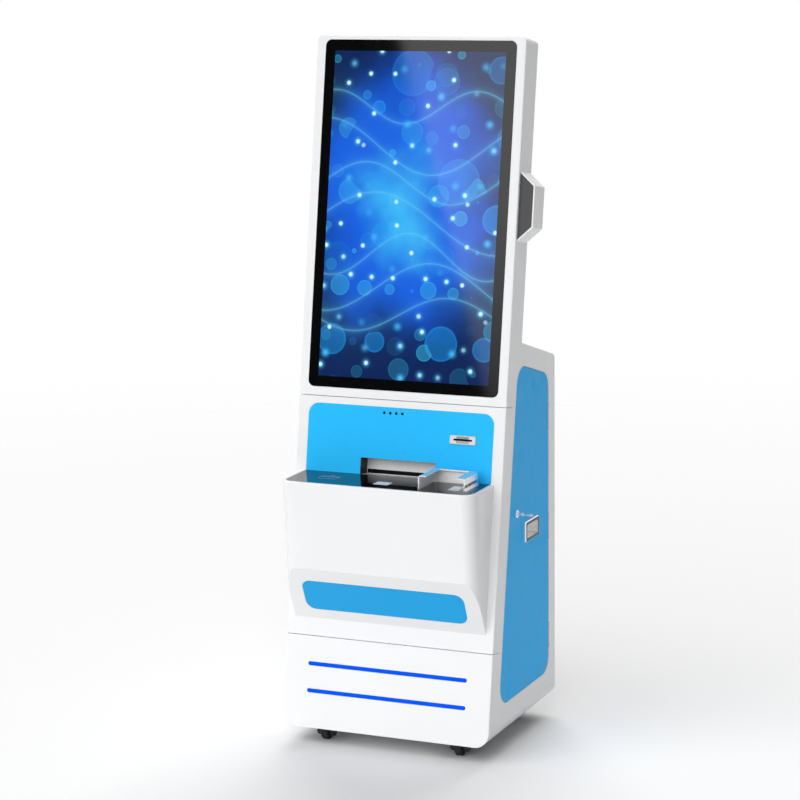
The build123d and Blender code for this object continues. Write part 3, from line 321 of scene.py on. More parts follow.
def placed_group(wiring, maker, gloss, **values):
    """A shared effect in a material, built when first asked for; gloss runs from smoothest to roughest."""
    name = maker.__name__.replace("_", " ").capitalize()
    tree = bpy.data.node_groups.get(name) or maker(name)
    sockets = {"Smoothest": gloss[0], "Roughest": gloss[1], **values}
    return wiring.add("ShaderNodeGroup", sockets, node_tree=tree).outputs


# Material building


COARSE_RELIEF = 0.4 * MM
FINE_RELIEF = 0.2 * MM
INK_RELIEF = 0.1 * MM


def start_material(name):
    material = bpy.data.materials.new(name)
    material.use_nodes = True
    material.node_tree.nodes.clear()
    wiring = Wiring(material.node_tree)
    shader = wiring.add("ShaderNodeBsdfPrincipled")
    wiring.add("ShaderNodeOutputMaterial", {"Surface": shader.outputs["BSDF"]})
    return material, wiring, shader.inputs


def lay_skin(wiring, shader, skin, tone=None, bump=None):
    """Feeds a skin to the shader, with its colour times a tone and its relief where they are given."""
    colour = skin["Color"]
    if tone is not None:
        colour = wiring.mix(1.0, tone, colour, "MULTIPLY")
    wiring.feed_all(shader, {"Base Color": colour, "Roughness": skin["Roughness"]})
    if bump is not None:
        strength, relief = bump
        sockets = {"Strength": strength, "Distance": relief, "Height": skin["Height"]}
        wiring.feed(shader["Normal"], wiring.add("ShaderNodeBump", sockets).outputs["Normal"])


def skin_material(name, maker, tint, gloss, detail, bump, shade=0.95, **sockets):
    """A finish made from one of the shared skins, with the rest set on the shader."""
    material, wiring, shader = start_material(name)
    values = {"Tint": tint, "Shade": darker(tint, shade)}
    values["Grain" if maker is coated_skin else "Stretch"] = detail
    lay_skin(wiring, shader, placed_group(wiring, maker, gloss, **values), bump=bump)
    wiring.feed_all(shader, {key.replace("_", " "): value for key, value in sockets.items()})
    return material


def start_sheet(name, gloss, stretch, shade):
    """A metal sheet whose drawn skin still has to be laid, with a tone that varies over its faces."""
    material, wiring, shader = start_material(name)
    values = {"Tint": WHITE, "Shade": grey(shade), "Stretch": stretch}
    return material, wiring, shader, placed_group(wiring, drawn_metal, gloss, **values)


def white_coat(name, gloss, coat):
    return skin_material(
        name, coated_skin, finishes().body_white, gloss,
        detail=900.0, bump=(0.05, COARSE_RELIEF), shade=0.985,
        Coat_Weight=coat, Coat_Roughness=0.08, Specular_IOR_Level=0.4,
    )


def blue_coat(name, tint, gloss, shine):
    return skin_material(
        name, coated_skin, tint, gloss,
        detail=1500.0, bump=(0.02, FINE_RELIEF), shade=0.985, Specular_IOR_Level=shine,
    )


def black_moulding(name, gloss, grain=1400.0):
    return skin_material(
        name, coated_skin, finishes().plastic_black, gloss,
        detail=grain, bump=(0.18, COARSE_RELIEF), shade=0.8,
    )


def metal(name, tint, gloss, stretch, strength, metallic=1.0):
    return skin_material(
        name, drawn_metal, tint, gloss,
        detail=stretch, bump=(strength, FINE_RELIEF), shade=0.9, Metallic=metallic,
    )


def dress_nodes(names, material):
    """Gives CAD nodes their finish."""
    for name in names:
        for place in NODES[name].material_slots:
            place.material = material


def dress(slot, material):
    """Gives every CAD node of a record slot its finish."""
    names = [row["node"] for row in frame["record"]["subparts"] if row["material_slot"] == slot]
    if not names:
        raise RuntimeError(f"no node uses the slot {slot}")
    dress_nodes(names, material)


def lean_runs():
    """Directions out of the leaning front and up along it."""
    angle = sizes().lean
    return (0.0, -math.cos(angle), math.sin(angle)), (0.0, math.sin(angle), math.cos(angle))


def facing_out(wiring, low, high):
    """1 on faces that look straight out of the leaning front, 0 on those that turn away."""
    return wiring.ramp(run_along(wiring, own_normal(wiring), lean_runs()[0]), low, high)


# Mesh building


def add_piece(name, build, body, material):
    """A new flat-shaded mesh piece that rides on a body and takes the finish it is given."""
    mesh = bpy.data.meshes.new(name)
    work = bmesh.new()
    build(work)
    bmesh.ops.recalc_face_normals(work, faces=work.faces)
    work.to_mesh(mesh)
    work.free()
    if not mesh.polygons:
        raise RuntimeError(f"{name} has no faces")
    mesh.materials.append(material)
    piece = bpy.data.objects.new(name, mesh)
    bpy.context.scene.collection.objects.link(piece)
    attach(piece, body)
    return piece


def ribbon(work, line, width, low, high, closed=False):
    """A flat raised line that follows points on a level face."""
    points = [Vector(point) for point in line]
    count = len(points)
    rows = []
    for number, point in enumerate(points):
        before = points[number - 1] if closed or number else point
        after = points[(number + 1) % count] if closed or number < count - 1 else point
        run = (after - before).normalized()
        side = Vector((-run.y, run.x)) * width / 2
        rows.append([
            work.verts.new((*(point + side), low)),
            work.verts.new((*(point + side), high)),
            work.verts.new((*(point - side), high)),
            work.verts.new((*(point - side), low)),
        ])
    for number in range(count if closed else count - 1):
        here, there = rows[number], rows[(number + 1) % count]
        for edge in range(4):
            work.faces.new((here[edge], here[(edge + 1) % 4], there[(edge + 1) % 4], there[edge]))
    if not closed:
        work.faces.new(rows[0])
        work.faces.new(rows[-1])


def rounded_loop(middle, width, depth, radius, steps=6):
    """Points round a rectangle with rounded corners."""
    corners = ((1, 1, 0), (-1, 1, 90), (-1, -1, 180), (1, -1, 270))
    loop = []
    for side, end, start in corners:
        centre = Vector(middle) + Vector((side * (width / 2 - radius), end * (depth / 2 - radius)))
        for step in range(steps + 1):
            angle = math.radians(start + 90 * step / steps)
            loop.append(centre + radius * Vector((math.cos(angle), math.sin(angle))))
    return loop


def plate(work, loop, low, high, edge):
    """A flat plate with a small chamfer round its top."""
    middle = sum(loop, Vector((0, 0))) / len(loop)
    rings = []
    for level, pull in ((low, 0.0), (high - edge, 0.0), (high, edge)):
        ring = []
        for point in loop:
            inward = (middle - point).normalized() * pull
            ring.append(work.verts.new((*(point + inward), level)))
        rings.append(ring)
    for lower, upper in zip(rings, rings[1:]):
        for number in range(len(loop)):
            after = (number + 1) % len(loop)
            work.faces.new((lower[number], lower[after], upper[after], upper[number]))
    work.faces.new(rings[0])
    work.faces.new(rings[-1])


def spun(work, profile, place, turn, steps=24):
    """A closed round body from (radius, height) pairs that start and end on its axis."""
    rings = []
    for radius, height in profile:
        count = steps if radius > 0 else 1
        ring = []
        for step in range(count):
            angle = 2 * math.pi * step / steps
            spot = Vector((radius * math.cos(angle), radius * math.sin(angle), height))
            ring.append(work.verts.new(place + turn @ spot))
        rings.append(ring)
    for lower, upper in zip(rings, rings[1:]):
        for step in range(steps):
            after = (step + 1) % steps
            corners = [lower[step % len(lower)], lower[after % len(lower)],
                       upper[after % len(upper)], upper[step % len(upper)]]
            work.faces.new(list(dict.fromkeys(corners)))


# Cabinet, panels and lights


class KIOSK_OT_coat_cabinet(bpy.types.Operator):
    """Coat the cabinet, pod and console white"""

    bl_idname = "kiosk.coat_cabinet"
    bl_label = "Coat cabinet and console"

    def execute(self, context):
        dress("white_paint", white_coat("Cabinet white coat", gloss=(0.28, 0.38), coat=0.25))
        dress("console_paint", white_coat("Console white coat", gloss=(0.16, 0.24), coat=0.5))
        return {"FINISHED"}


class KIOSK_OT_coat_blue_panels(bpy.types.Operator):
    """Colour the front panel, the console inlay and the door blue"""

    bl_idname = "kiosk.coat_blue_panels"
    bl_label = "Coat blue panels"

    def execute(self, context):
        chosen = finishes()
        panel = blue_coat("Front panel blue", chosen.panel_blue, gloss=(0.26, 0.34), shine=0.08)
        dress("blue_front", panel)
        inlay = blue_coat("Console inlay blue", chosen.inlay_blue, gloss=(0.28, 0.36), shine=0.1)
        dress("blue_inlay", inlay)
        door = blue_coat("Door blue coat", chosen.door_blue, gloss=(0.36, 0.44), shine=0.1)
        dress("blue_door", door)
        return {"FINISHED"}


class KIOSK_OT_light_strips(bpy.types.Operator):
    """Make the two diffusers in the lower front glow blue"""

    bl_idname = "kiosk.light_strips"
    bl_label = "Light the strips"

    def execute(self, context):
        chosen = finishes()
        material, wiring, shader = start_material("Strip diffuser")
        tone = wiring.ramp(wiring.noise(place_in_row(wiring), scale=60.0, detail=1.0), *NOISE_BAND)
        wiring.feed_all(shader, {
            "Base Color": darker(chosen.strip_blue, 0.02),
            "Emission Color": wiring.mix(tone, chosen.strip_blue, darker(chosen.strip_blue, 0.9)),
            "Emission Strength": chosen.strip_glow,
            "Specular IOR Level": 0.04,
            "Roughness": placed_group(wiring, wiped_glass, gloss=(0.3, 0.4))["Roughness"],
        })
        dress("light_blue", material)
        return {"FINISHED"}


class KIOSK_OT_light_screen(bpy.types.Operator):
    """Show a plain blue picture of waves, discs and points of light behind the black-bordered glass"""

    bl_idname = "kiosk.light_screen"
    bl_label = "Light the screen"

    def execute(self, context):
        dress("screen_glass", screen_picture())
        dress("screen_panel", black_moulding("Screen module black", gloss=(0.4, 0.55)))
        return {"FINISHED"}


# The picture is laid out in picture widths from its middle; the cells of discs and points are counted
# across one width, and distances in them are shares of a cell
PICTURE_TALL = 1.778
PICTURE_EDGE = 0.5
DEEP_BLUE = (0.001, 0.008, 0.085)
MIDDLE_BLUE = (0.004, 0.10, 0.74)
PALE_BLUE = (0.05, 0.56, 1.0)
GROUND_MIDDLE = (-0.06, 0.09)
GROUND_SQUASH = 0.72
GROUND_CLOUD = 0.6
GROUND_FALL = 0.95
# Each wave: swing, waves across the width, start in radians, rise as a share of the height
WAVES = (
    (0.10, 0.9, 0.2, -0.30), (0.14, 0.8, 0.9, -0.22), (0.12, 1.1, 1.6, -0.12),
    (0.16, 0.7, 2.5, -0.02), (0.11, 1.0, 3.3, 0.10), (0.15, 0.8, 4.2, 0.21), (0.09, 1.2, 5.2, 0.33),
)
WAVE_WIDTH = 0.003
WAVE_SHARE = 0.5
WAVE_BLUE = (0.16, 0.68, 1.0)
# Each set of discs: cells across, largest radius, strength, colour
DISCS = (
    (3.2, 0.46, 0.34, (0.01, 0.36, 1.0)),
    (5.5, 0.40, 0.28, (0.05, 0.62, 1.0)),
)
DISC_EDGE = (0.0, 0.025)
DISC_RIM = (0.06, 0.02)
DISC_RIM_SHARE = 0.6
POINT_CELLS = 6.5
HALO_REACH = (0.34, 0.0)
HALO_FALL = 3.0
HALO_BLUE = (0.06, 0.52, 1.0)
SPARK_REACH = (0.11, 0.03)
SPARK_CHANCE = (0.25, 0.6)
SPARK_WHITE = (0.62, 0.97, 1.0)


def screen_places(wiring, low, high):
    """Shares across and up the lit picture, from -0.5 to 0.5, on the leaning glass."""
    where = place_in_row(wiring)
    up_run = lean_runs()[1]
    middle = (Vector(low) + Vector(high)) / 2
    across = wiring.math("SUBTRACT", run_along(wiring, where, RIGHTWARDS), middle.x)
    along = wiring.math("SUBTRACT", run_along(wiring, where, up_run), middle.dot(Vector(up_run)))
    return (
        wiring.math("DIVIDE", across, sizes().picture_width),
        wiring.math("DIVIDE", along, sizes().picture_height),
    )


def cells_of(wiring, flat, scale):
    """Distance to the nearest of many scattered points, and two chance numbers for each."""
    cells = wiring.add("ShaderNodeTexVoronoi", {"Vector": flat, "Scale": scale}, voronoi_dimensions="2D")
    pick = wiring.add("ShaderNodeSeparateColor", {"Color": cells.outputs["Color"]}).outputs
    return cells.outputs["Distance"], pick[0], pick[1]


def picture_ground(wiring, across, tall, flat):
    """Deep blue that lightens towards the middle."""
    cloud = wiring.noise(flat, scale=2.0, detail=3.0)
    sideways = wiring.math("SUBTRACT", across, GROUND_MIDDLE[0])
    upwards = wiring.math("MULTIPLY", wiring.math("SUBTRACT", tall, GROUND_MIDDLE[1]), GROUND_SQUASH)
    squares = [wiring.math("POWER", part, 2.0) for part in (sideways, upwards)]
    far = wiring.math("SQRT", wiring.math("ADD", *squares))
    lift = wiring.math(
        "SUBTRACT",
        wiring.math("MULTIPLY", cloud, GROUND_CLOUD),
        wiring.math("MULTIPLY", far, GROUND_FALL),
    )
    ground = wiring.mix(wiring.ramp(lift, low=-0.36, high=0.02), DEEP_BLUE, MIDDLE_BLUE)
    return wiring.mix(wiring.ramp(lift, low=0.0, high=0.36), ground, PALE_BLUE)


def with_discs(wiring, picture, flat):
    """Lays see-through discs with a stronger rim over the picture."""
    for scale, size, strength, tint in DISCS:
        distance, first, second = cells_of(wiring, flat, scale)
        left = wiring.math("SUBTRACT", wiring.math("MULTIPLY", first, size), distance)
        fill = wiring.ramp(left, *DISC_EDGE)
        rim = wiring.math("MULTIPLY", fill, wiring.ramp(left, *DISC_RIM))
        shown = wiring.math("MULTIPLY", wiring.math("MULTIPLY_ADD", rim, DISC_RIM_SHARE, fill), second)
        picture = wiring.mix(wiring.math("MULTIPLY", shown, strength), picture, tint)
    return picture


def with_waves(wiring, picture, across, tall):
    """Draws the thin waves over the picture."""
    lines = 0.0
    for swing, waves, start, rise in WAVES:
        turn = wiring.math("MULTIPLY_ADD", across, 2 * math.pi * waves, start)
        curve = wiring.math("MULTIPLY_ADD", wiring.math("SINE", turn), swing, rise * PICTURE_TALL)
        gap = wiring.math("ABSOLUTE", wiring.math("SUBTRACT", tall, curve))
        line = wiring.math("DIVIDE", WAVE_WIDTH, wiring.math("ADD", gap, WAVE_WIDTH))
        lines = wiring.math("ADD", line, lines)
    return wiring.mix(wiring.math("MULTIPLY", lines, WAVE_SHARE), picture, WAVE_BLUE)


def with_points(wiring, picture, flat):
    """Scatters points of light, each in a halo, over the picture."""
    distance, first, second = cells_of(wiring, flat, POINT_CELLS)
    halo = wiring.math("POWER", wiring.ramp(distance, *HALO_REACH), HALO_FALL)
    picture = wiring.mix(wiring.math("MULTIPLY", halo, first), picture, HALO_BLUE)
    spark = wiring.ramp(distance, *SPARK_REACH)
    shown = wiring.math("MULTIPLY", spark, wiring.ramp(second, *SPARK_CHANCE))
    return wiring.mix(shown, picture, SPARK_WHITE)


def screen_picture():
    """Black glass that gives off the picture inside its border."""
    chosen = finishes()
    material, wiring, shader = start_material("Screen glass")
    across, along = screen_places(wiring, *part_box("display_glass"))
    within = [
        wiring.math("LESS_THAN", wiring.math("ABSOLUTE", share), PICTURE_EDGE) for share in (across, along)
    ]
    tall = wiring.math("MULTIPLY", along, PICTURE_TALL)
    flat = wiring.add("ShaderNodeCombineXYZ", {"X": across, "Y": tall}).outputs[0]
    picture = picture_ground(wiring, across, tall, flat)
    picture = with_discs(wiring, picture, flat)
    picture = with_waves(wiring, picture, across, tall)
    picture = with_points(wiring, picture, flat)
    wiring.feed_all(shader, {
        "Base Color": chosen.glass_black,
        "Emission Color": wiring.mix(wiring.math("MULTIPLY", *within), BLACK, picture),
        "Emission Strength": chosen.screen_glow,
        "Roughness": placed_group(wiring, wiped_glass, gloss=(0.03, 0.06))["Roughness"],
        "Specular IOR Level": 1.0,
    })
    return material


# Console top and fittings


CHROME_GLOSS = (0.16, 0.26)
SATIN_STRETCH = (700.0, 60.0, 60.0)
SATIN_BUMP = (0.02, FINE_RELIEF)
# Inside the hood the metal fades to a pale, nearly unmetallic tone, a painted reflection of the bright room
HOOD_FADE = 4.0 * MM
HOOD_METALLIC = (0.75, 0.05)
HANDLE_RIM_DEPTH = (2.0 * MM, 1.0 * MM)
OUTLET_FADE_START = 0.45


class KIOSK_OT_finish_console_top(bpy.types.Operator):
    """Finish the console's glass, its hood and its scan window"""

    bl_idname = "kiosk.finish_console_top"
    bl_label = "Finish console top"

    def execute(self, context):
        chosen = finishes()
        material, wiring, shader = start_material("Console black glass")
        wiring.feed_all(shader, {
            "Base Color": chosen.glass_black,
            "Roughness": placed_group(wiring, wiped_glass, gloss=(0.03, 0.07))["Roughness"],
            "Specular IOR Level": 0.5,
        })
        dress("console_black_glass", material)
        dress("hood_chrome", hood_chrome())
        window = skin_material(
            "Scan window frosted", coated_skin, chosen.scan_frost,
            gloss=(0.3, 0.42), detail=500.0, bump=(0.05, FINE_RELIEF), shade=0.94,
        )
        dress("window_white", window)
        return {"FINISHED"}


def hood_chrome():
    """Polished outside that mirrors the blue panel; a pale, nearly unmetallic inside as a painted reflection
    of the bright room.
    """
    chosen = finishes()
    low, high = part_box("document_hood")
    material, wiring, shader, skin = start_sheet(
        "Hood bright metal", CHROME_GLOSS, stretch=(40.0, 40.0, 900.0), shade=0.93
    )
    inward = wiring.vector("SUBTRACT", (low + high) / 2, place_in_row(wiring))[0]
    # Faces that look inwards take the pale painted reflection and lose most of their metal
    inside = wiring.ramp(run_along(wiring, inward, own_normal(wiring)), 0.0, HOOD_FADE)
    tone = wiring.mix(inside, chosen.metal_bright, chosen.hood_silver)
    lay_skin(wiring, shader, skin, tone, bump=(0.03, FINE_RELIEF))
    wiring.feed(shader["Metallic"], wiring.ramp(inside, 0.0, 1.0, *HOOD_METALLIC))
    return material


def bezel_silver():
    """Satin silver face with a finger scoop painted dark as painted shade."""
    chosen = finishes()
    material, wiring, shader, skin = start_sheet(
        "Bezel satin silver", gloss=(0.3, 0.42), stretch=SATIN_STRETCH, shade=0.9
    )
    # Faces turned from the front, the scoop's slopes, take the painted shade
    tone = wiring.mix(facing_out(wiring, low=0.9, high=0.99), chosen.bezel_scoop, chosen.bezel_face)
    lay_skin(wiring, shader, skin, tone, SATIN_BUMP)
    wiring.feed(shader["Specular IOR Level"], 0.3)
    return material


def handle_chrome():
    """Bevels and lips painted bright as a painted highlight, a flat rim painted near black and a mid-grey
    cup.
    """
    chosen = finishes()
    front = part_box("door_handle")[1].x
    material, wiring, shader, skin = start_sheet(
        "Handle satin chrome", CHROME_GLOSS, stretch=(60.0, 60.0, 700.0), shade=0.92
    )
    # Faces that do not look straight out, the bevels and lips, take the painted highlight
    flat = wiring.ramp(run_along(wiring, own_normal(wiring), RIGHTWARDS), low=0.90, high=0.97)
    out = wiring.add("ShaderNodeSeparateXYZ", {"Vector": place_in_row(wiring)}).outputs["X"]
    rim = wiring.ramp(out, *(front - depth for depth in HANDLE_RIM_DEPTH))
    face = wiring.mix(rim, chosen.handle_cup, chosen.handle_rim)
    lay_skin(wiring, shader, skin, wiring.mix(flat, chosen.handle_edge, face))
    wiring.feed(shader["Metallic"], 0.8)
    return material


def outlet_sheet():
    """Light grey back plate with painted shade darkening it upwards, between walls painted dark as painted
    shade, over a grey floor.
    """
    chosen = finishes()
    low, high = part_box("printer_chute")
    material, wiring, shader, skin = start_sheet(
        "Outlet grey sheet", gloss=(0.3, 0.45), stretch=SATIN_STRETCH, shade=0.9
    )
    # Walls take painted shade near black; faces looking up, the floor, keep a mid grey
    level = wiring.ramp(run_along(wiring, own_normal(wiring), UPWARDS), low=0.6, high=0.9)
    walls = wiring.mix(level, chosen.outlet_wall, chosen.outlet_floor)
    # Painted shade darkens the back plate towards its top
    up = wiring.add("ShaderNodeSeparateXYZ", {"Vector": place_in_row(wiring)}).outputs["Z"]
    share = wiring.ramp(up, low.z + OUTLET_FADE_START * (high.z - low.z), high.z)
    back = wiring.mix(share, chosen.outlet_foot, chosen.outlet_top)
    tone = wiring.mix(facing_out(wiring, low=0.5, high=0.9), walls, back)
    lay_skin(wiring, shader, skin, tone, SATIN_BUMP)
    wiring.feed(shader["Specular IOR Level"], 0.2)
    return material


class KIOSK_OT_finish_fittings(bpy.types.Operator):
    """Finish the handle, lock, key, card bezel, paper outlet, pod window and screws"""

    bl_idname = "kiosk.finish_fittings"
    bl_label = "Finish fittings"

    def execute(self, context):
        chosen = finishes()
        lock = metal(
            "Lock chrome", chosen.lock_chrome,
            gloss=(0.12, 0.2), stretch=(60, 60, 700), strength=0.02, metallic=0.75,
        )
        dress("handle_chrome", lock)
        dress_nodes(["door_handle"], handle_chrome())
        dress("bezel_silver", bezel_silver())
        dress("outlet_grey", outlet_sheet())
        window = skin_material(
            "Pod dark window", coated_skin, chosen.pod_dark,
            gloss=(0.16, 0.24), detail=300.0, bump=(0.02, FINE_RELIEF), shade=0.94, Specular_IOR_Level=0.3,
        )
        dress("pod_black", window)
        screw = metal(
            "Screw head steel", chosen.screw_steel,
            gloss=(0.25, 0.4), stretch=(200, 200, 200), strength=0.1,
        )
        dress("screw_blue", screw)
        return {"FINISHED"}


class KIOSK_OT_finish_castors(bpy.types.Operator):
    """Finish the castors' black mouldings and treads"""

    bl_idname = "kiosk.finish_castors"
    bl_label = "Finish castors"

    def execute(self, context):
        dress("castor_black", black_moulding("Castor moulding black", gloss=(0.4, 0.55)))
        dress("castor_tread", black_moulding("Castor tread black", gloss=(0.6, 0.8), grain=600.0))
        return {"FINISHED"}


class KIOSK_OT_finish_inside(bpy.types.Operator):
    """Finish what is inside and behind: modules, rollers, frame, hinges, mains inlet and rocker"""

    bl_idname = "kiosk.finish_inside"
    bl_label = "Finish inner parts"

    def execute(self, context):
        chosen = finishes()
        dress("module_black", black_moulding("Module plastic black", gloss=(0.42, 0.58)))
        # Darker than the other black plastic, as painted shade in the mic holes and the card slot
        painted_shade_black = skin_material(
            "Painted shade black", coated_skin, darker(chosen.plastic_black, 0.2),
            gloss=(0.7, 0.8), detail=900.0, bump=(0.1, COARSE_RELIEF), Specular_IOR_Level=0.05,
        )
        dress_nodes(["microphone_strip", "card_reader"], painted_shade_black)
        dress("rocker_black", black_moulding("Rocker black", gloss=(0.22, 0.32), grain=500.0))
        dress("roller_rubber", black_moulding("Feed roller rubber", gloss=(0.7, 0.85), grain=500.0))
        aluminium = metal(
            "Module aluminium", chosen.module_aluminium,
            gloss=(0.3, 0.45), stretch=(50, 50, 800), strength=0.1,
        )
        dress("bare_aluminium", aluminium)
        steel = metal(
            "Plated steel", chosen.plated_steel,
            gloss=(0.32, 0.5), stretch=(90, 400, 90), strength=0.12,
        )
        dress("inner_steel", steel)
        return {"FINISHED"}


# Added pieces


# The tap mark: CARD_DEPTH and ARROW_WING are shares of its card's width, the others of its card's depth
CARD_DEPTH = 0.62
CARD_CORNER = 0.14
CARD_STRIPE = 0.18
ARROW_GAP = 0.18
ARROW_WING = 0.14
# Where the window under the hood sits, as shares of the hood's width and depth
WINDOW_PLACE = (0.68, 0.40)
WINDOW_EDGE = 0.1 * MM
# A screw head from its middle below to its socket's floor, as shares of its radius and height
SCREW_PROFILE = (
    (0, 0), (1, 0), (1, 0.25), (0.8, 0.75), (0.55, 1), (0.5, 1), (0.5, 0.35), (0, 0.3),
)
# Points of one screw lie within this many radii of each other
SCREW_REACH = 3


class KIOSK_OT_add_tap_mark(bpy.types.Operator):
    """Print a plain card-and-arrow mark over the contactless reader"""

    bl_idname = "kiosk.add_tap_mark"
    bl_label = "Add tap mark"

    def execute(self, context):
        chosen = sizes()
        low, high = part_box("contactless_reader")
        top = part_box("console_glass")[1].z
        middle = Vector(((low.x + high.x) / 2, (low.y + high.y) / 2))
        width = chosen.mark_width
        depth = width * CARD_DEPTH
        line = chosen.mark_line

        def draw(work):
            levels = (top, top + chosen.mark_proud)
            card = rounded_loop(middle, width, depth, depth * CARD_CORNER)
            ribbon(work, card, line, *levels, closed=True)
            stripe = middle.y + depth * CARD_STRIPE
            inner = width / 2 - line
            ribbon(work, [(middle.x - inner, stripe), (middle.x + inner, stripe)], line * 2, *levels)
            tip = middle.y + depth / 2 + depth * ARROW_GAP
            wing = width * ARROW_WING
            arrow = [(middle.x - wing, tip + wing), (middle.x, tip), (middle.x + wing, tip + wing)]
            ribbon(work, arrow, line, *levels)

        ink = skin_material(
            "Printed pale mark", coated_skin, finishes().mark_ink,
            gloss=(0.4, 0.5), detail=900.0, bump=(0.02, INK_RELIEF),
        )
        add_piece("tap_mark", draw, "cabinet", ink)
        return {"FINISHED"}


class KIOSK_OT_add_document_window(bpy.types.Operator):
    """Set a frosted window in the glass under the hood"""

    bl_idname = "kiosk.add_document_window"
    bl_label = "Add document window"

    def execute(self, context):
        chosen = sizes()
        low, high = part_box("document_hood")
        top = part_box("console_glass")[1].z
        across, back = WINDOW_PLACE
        middle = Vector((low.x + across * (high.x - low.x), low.y + back * (high.y - low.y)))
        loop = rounded_loop(middle, chosen.window_width, chosen.window_depth, chosen.window_corner)

        def draw(work):
            plate(work, loop, top - chosen.mark_proud, top + chosen.mark_proud, WINDOW_EDGE)

        frost = skin_material(
            "Document window frosted", coated_skin, finishes().document_frost,
            gloss=(0.25, 0.4), detail=400.0, bump=(0.04, FINE_RELIEF), shade=0.92,
        )
        add_piece("document_window", draw, "cabinet", frost)
        return {"FINISHED"}


class KIOSK_OT_add_door_screws(bpy.types.Operator):
    """Put domed socket screws where the door's plain discs are"""

    bl_idname = "kiosk.add_door_screws"
    bl_label = "Add door screws"

    def execute(self, context):
        chosen = sizes()
        discs = NODES["door_screws"]
        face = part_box("door_screws")[0].x
        profile = [(out * chosen.screw_radius, up * chosen.screw_proud) for out, up in SCREW_PROFILE]
        turn = Matrix.Rotation(math.pi / 2, 3, "Y")

        def draw(work):
            for centre in separate_middles(discs.data):
                spun(work, profile, Vector((face, centre.y, centre.z)), turn)

        piece = add_piece("door_screw_heads", draw, "door", discs.material_slots[0].material)
        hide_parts("door_screws")
        return {"FINISHED"}


def separate_middles(mesh):
    """The middle of each loose solid in a mesh, found by grouping points that lie close."""
    groups = []
    reach = SCREW_REACH * sizes().screw_radius
    for vertex in mesh.vertices:
        for group in groups:
            if (group[0] - vertex.co).length < reach:
                group.append(vertex.co.copy())
                break
        else:
            groups.append([vertex.co.copy()])
    middles = []
    for group in groups:
        low, high = (Vector(map(pick, zip(*group))) for pick in (min, max))
        middles.append((low + high) / 2)
    return middles


# Stage


SENSOR_WIDTH = 36.0
FRONT_LAMP_FROM = (-0.22, -0.75, 0.62)
FRONT_LAMP_SPREAD = 80.0
BACK_LAMP_FROM = (-0.141, 0.627, 0.766)
BACK_LAMP_SPREAD = 45.0
FLOOR_FADE_START = 0.35
# The curtain and the slanting light that gloss shows, by the parts of the direction they lie in
CURTAIN_MIDDLE = (-0.26, 0.19)
CURTAIN_SQUASH = 2.0
CURTAIN_EDGE = (0.48, 0.34)
CURTAIN_FRONT = (0.0, -0.3)
CURTAIN_DARK = 0.985
BEAM_SLANT = 0.272
BEAM_LEFT = (-0.330, -0.326)
BEAM_RIGHT = (-0.20, -0.26)
BEAM_FOOT = (0.06, 0.22)


def add_sky_lamp(name, place, strength, spread):
    """A wide soft light from far off; it shows in no mirror."""
    lamp = bpy.data.lights.new(name, "SUN")
    lamp.energy = strength
    lamp.angle = math.radians(spread)
    holder = bpy.data.objects.new(name, lamp)
    holder.matrix_world = (-Vector(place)).to_track_quat("-Z", "Y").to_matrix().to_4x4()
    holder.visible_glossy = False
    bpy.context.scene.collection.objects.link(holder)


def add_camera():
    chosen = stage()
    cos_y, sin_y = math.cos(chosen.camera_yaw), math.sin(chosen.camera_yaw)
    cos_p, sin_p = math.cos(chosen.camera_pitch), math.sin(chosen.camera_pitch)
    forward = Vector((-sin_y * cos_p, cos_y * cos_p, -sin_p))
    right = Vector((cos_y, sin_y, 0.0))
    up = right.cross(forward)
    cos_r, sin_r = math.cos(chosen.camera_roll), math.sin(chosen.camera_roll)
    right, up = cos_r * right + sin_r * up, cos_r * up - sin_r * right
    data = bpy.data.cameras.new("Front view")
    data.lens = chosen.lens
    data.sensor_width = SENSOR_WIDTH
    camera = bpy.data.objects.new("Front view", data)
    turn = Matrix((right, up, -forward)).transposed().to_4x4()
    camera.matrix_world = Matrix.Translation(chosen.camera_place) @ turn
    bpy.context.scene.collection.objects.link(camera)
    bpy.context.scene.camera = camera


def room_in_mirrors(wiring):
    """What gloss shows of the room: white, but for a dark curtain in front with one slanting light."""
    heading = wiring.add("ShaderNodeTexCoord").outputs["Generated"]
    parts = wiring.add("ShaderNodeSeparateXYZ", {"Vector": heading}).outputs
    sideways = wiring.math("SUBTRACT", parts["X"], CURTAIN_MIDDLE[0])
    upwards = wiring.math("MULTIPLY", wiring.math("SUBTRACT", parts["Z"], CURTAIN_MIDDLE[1]), CURTAIN_SQUASH)
    squares = [wiring.math("MULTIPLY", part, part) for part in (sideways, upwards)]
    off = wiring.math("SQRT", wiring.math("ADD", *squares))
    front = wiring.ramp(parts["Y"], *CURTAIN_FRONT)
    curtain = wiring.math("MULTIPLY", wiring.ramp(off, *CURTAIN_EDGE), front)
    slant = wiring.math("MULTIPLY_ADD", parts["Z"], BEAM_SLANT, parts["X"])
    lit = wiring.math("MULTIPLY", wiring.ramp(slant, *BEAM_LEFT), wiring.ramp(slant, *BEAM_RIGHT))
    lit = wiring.math("MULTIPLY", lit, wiring.ramp(parts["Z"], *BEAM_FOOT))
    dark = wiring.math("MULTIPLY", curtain, wiring.math("SUBTRACT", 1.0, lit))
    return wiring.math("SUBTRACT", 1.0, wiring.math("MULTIPLY", dark, CURTAIN_DARK))


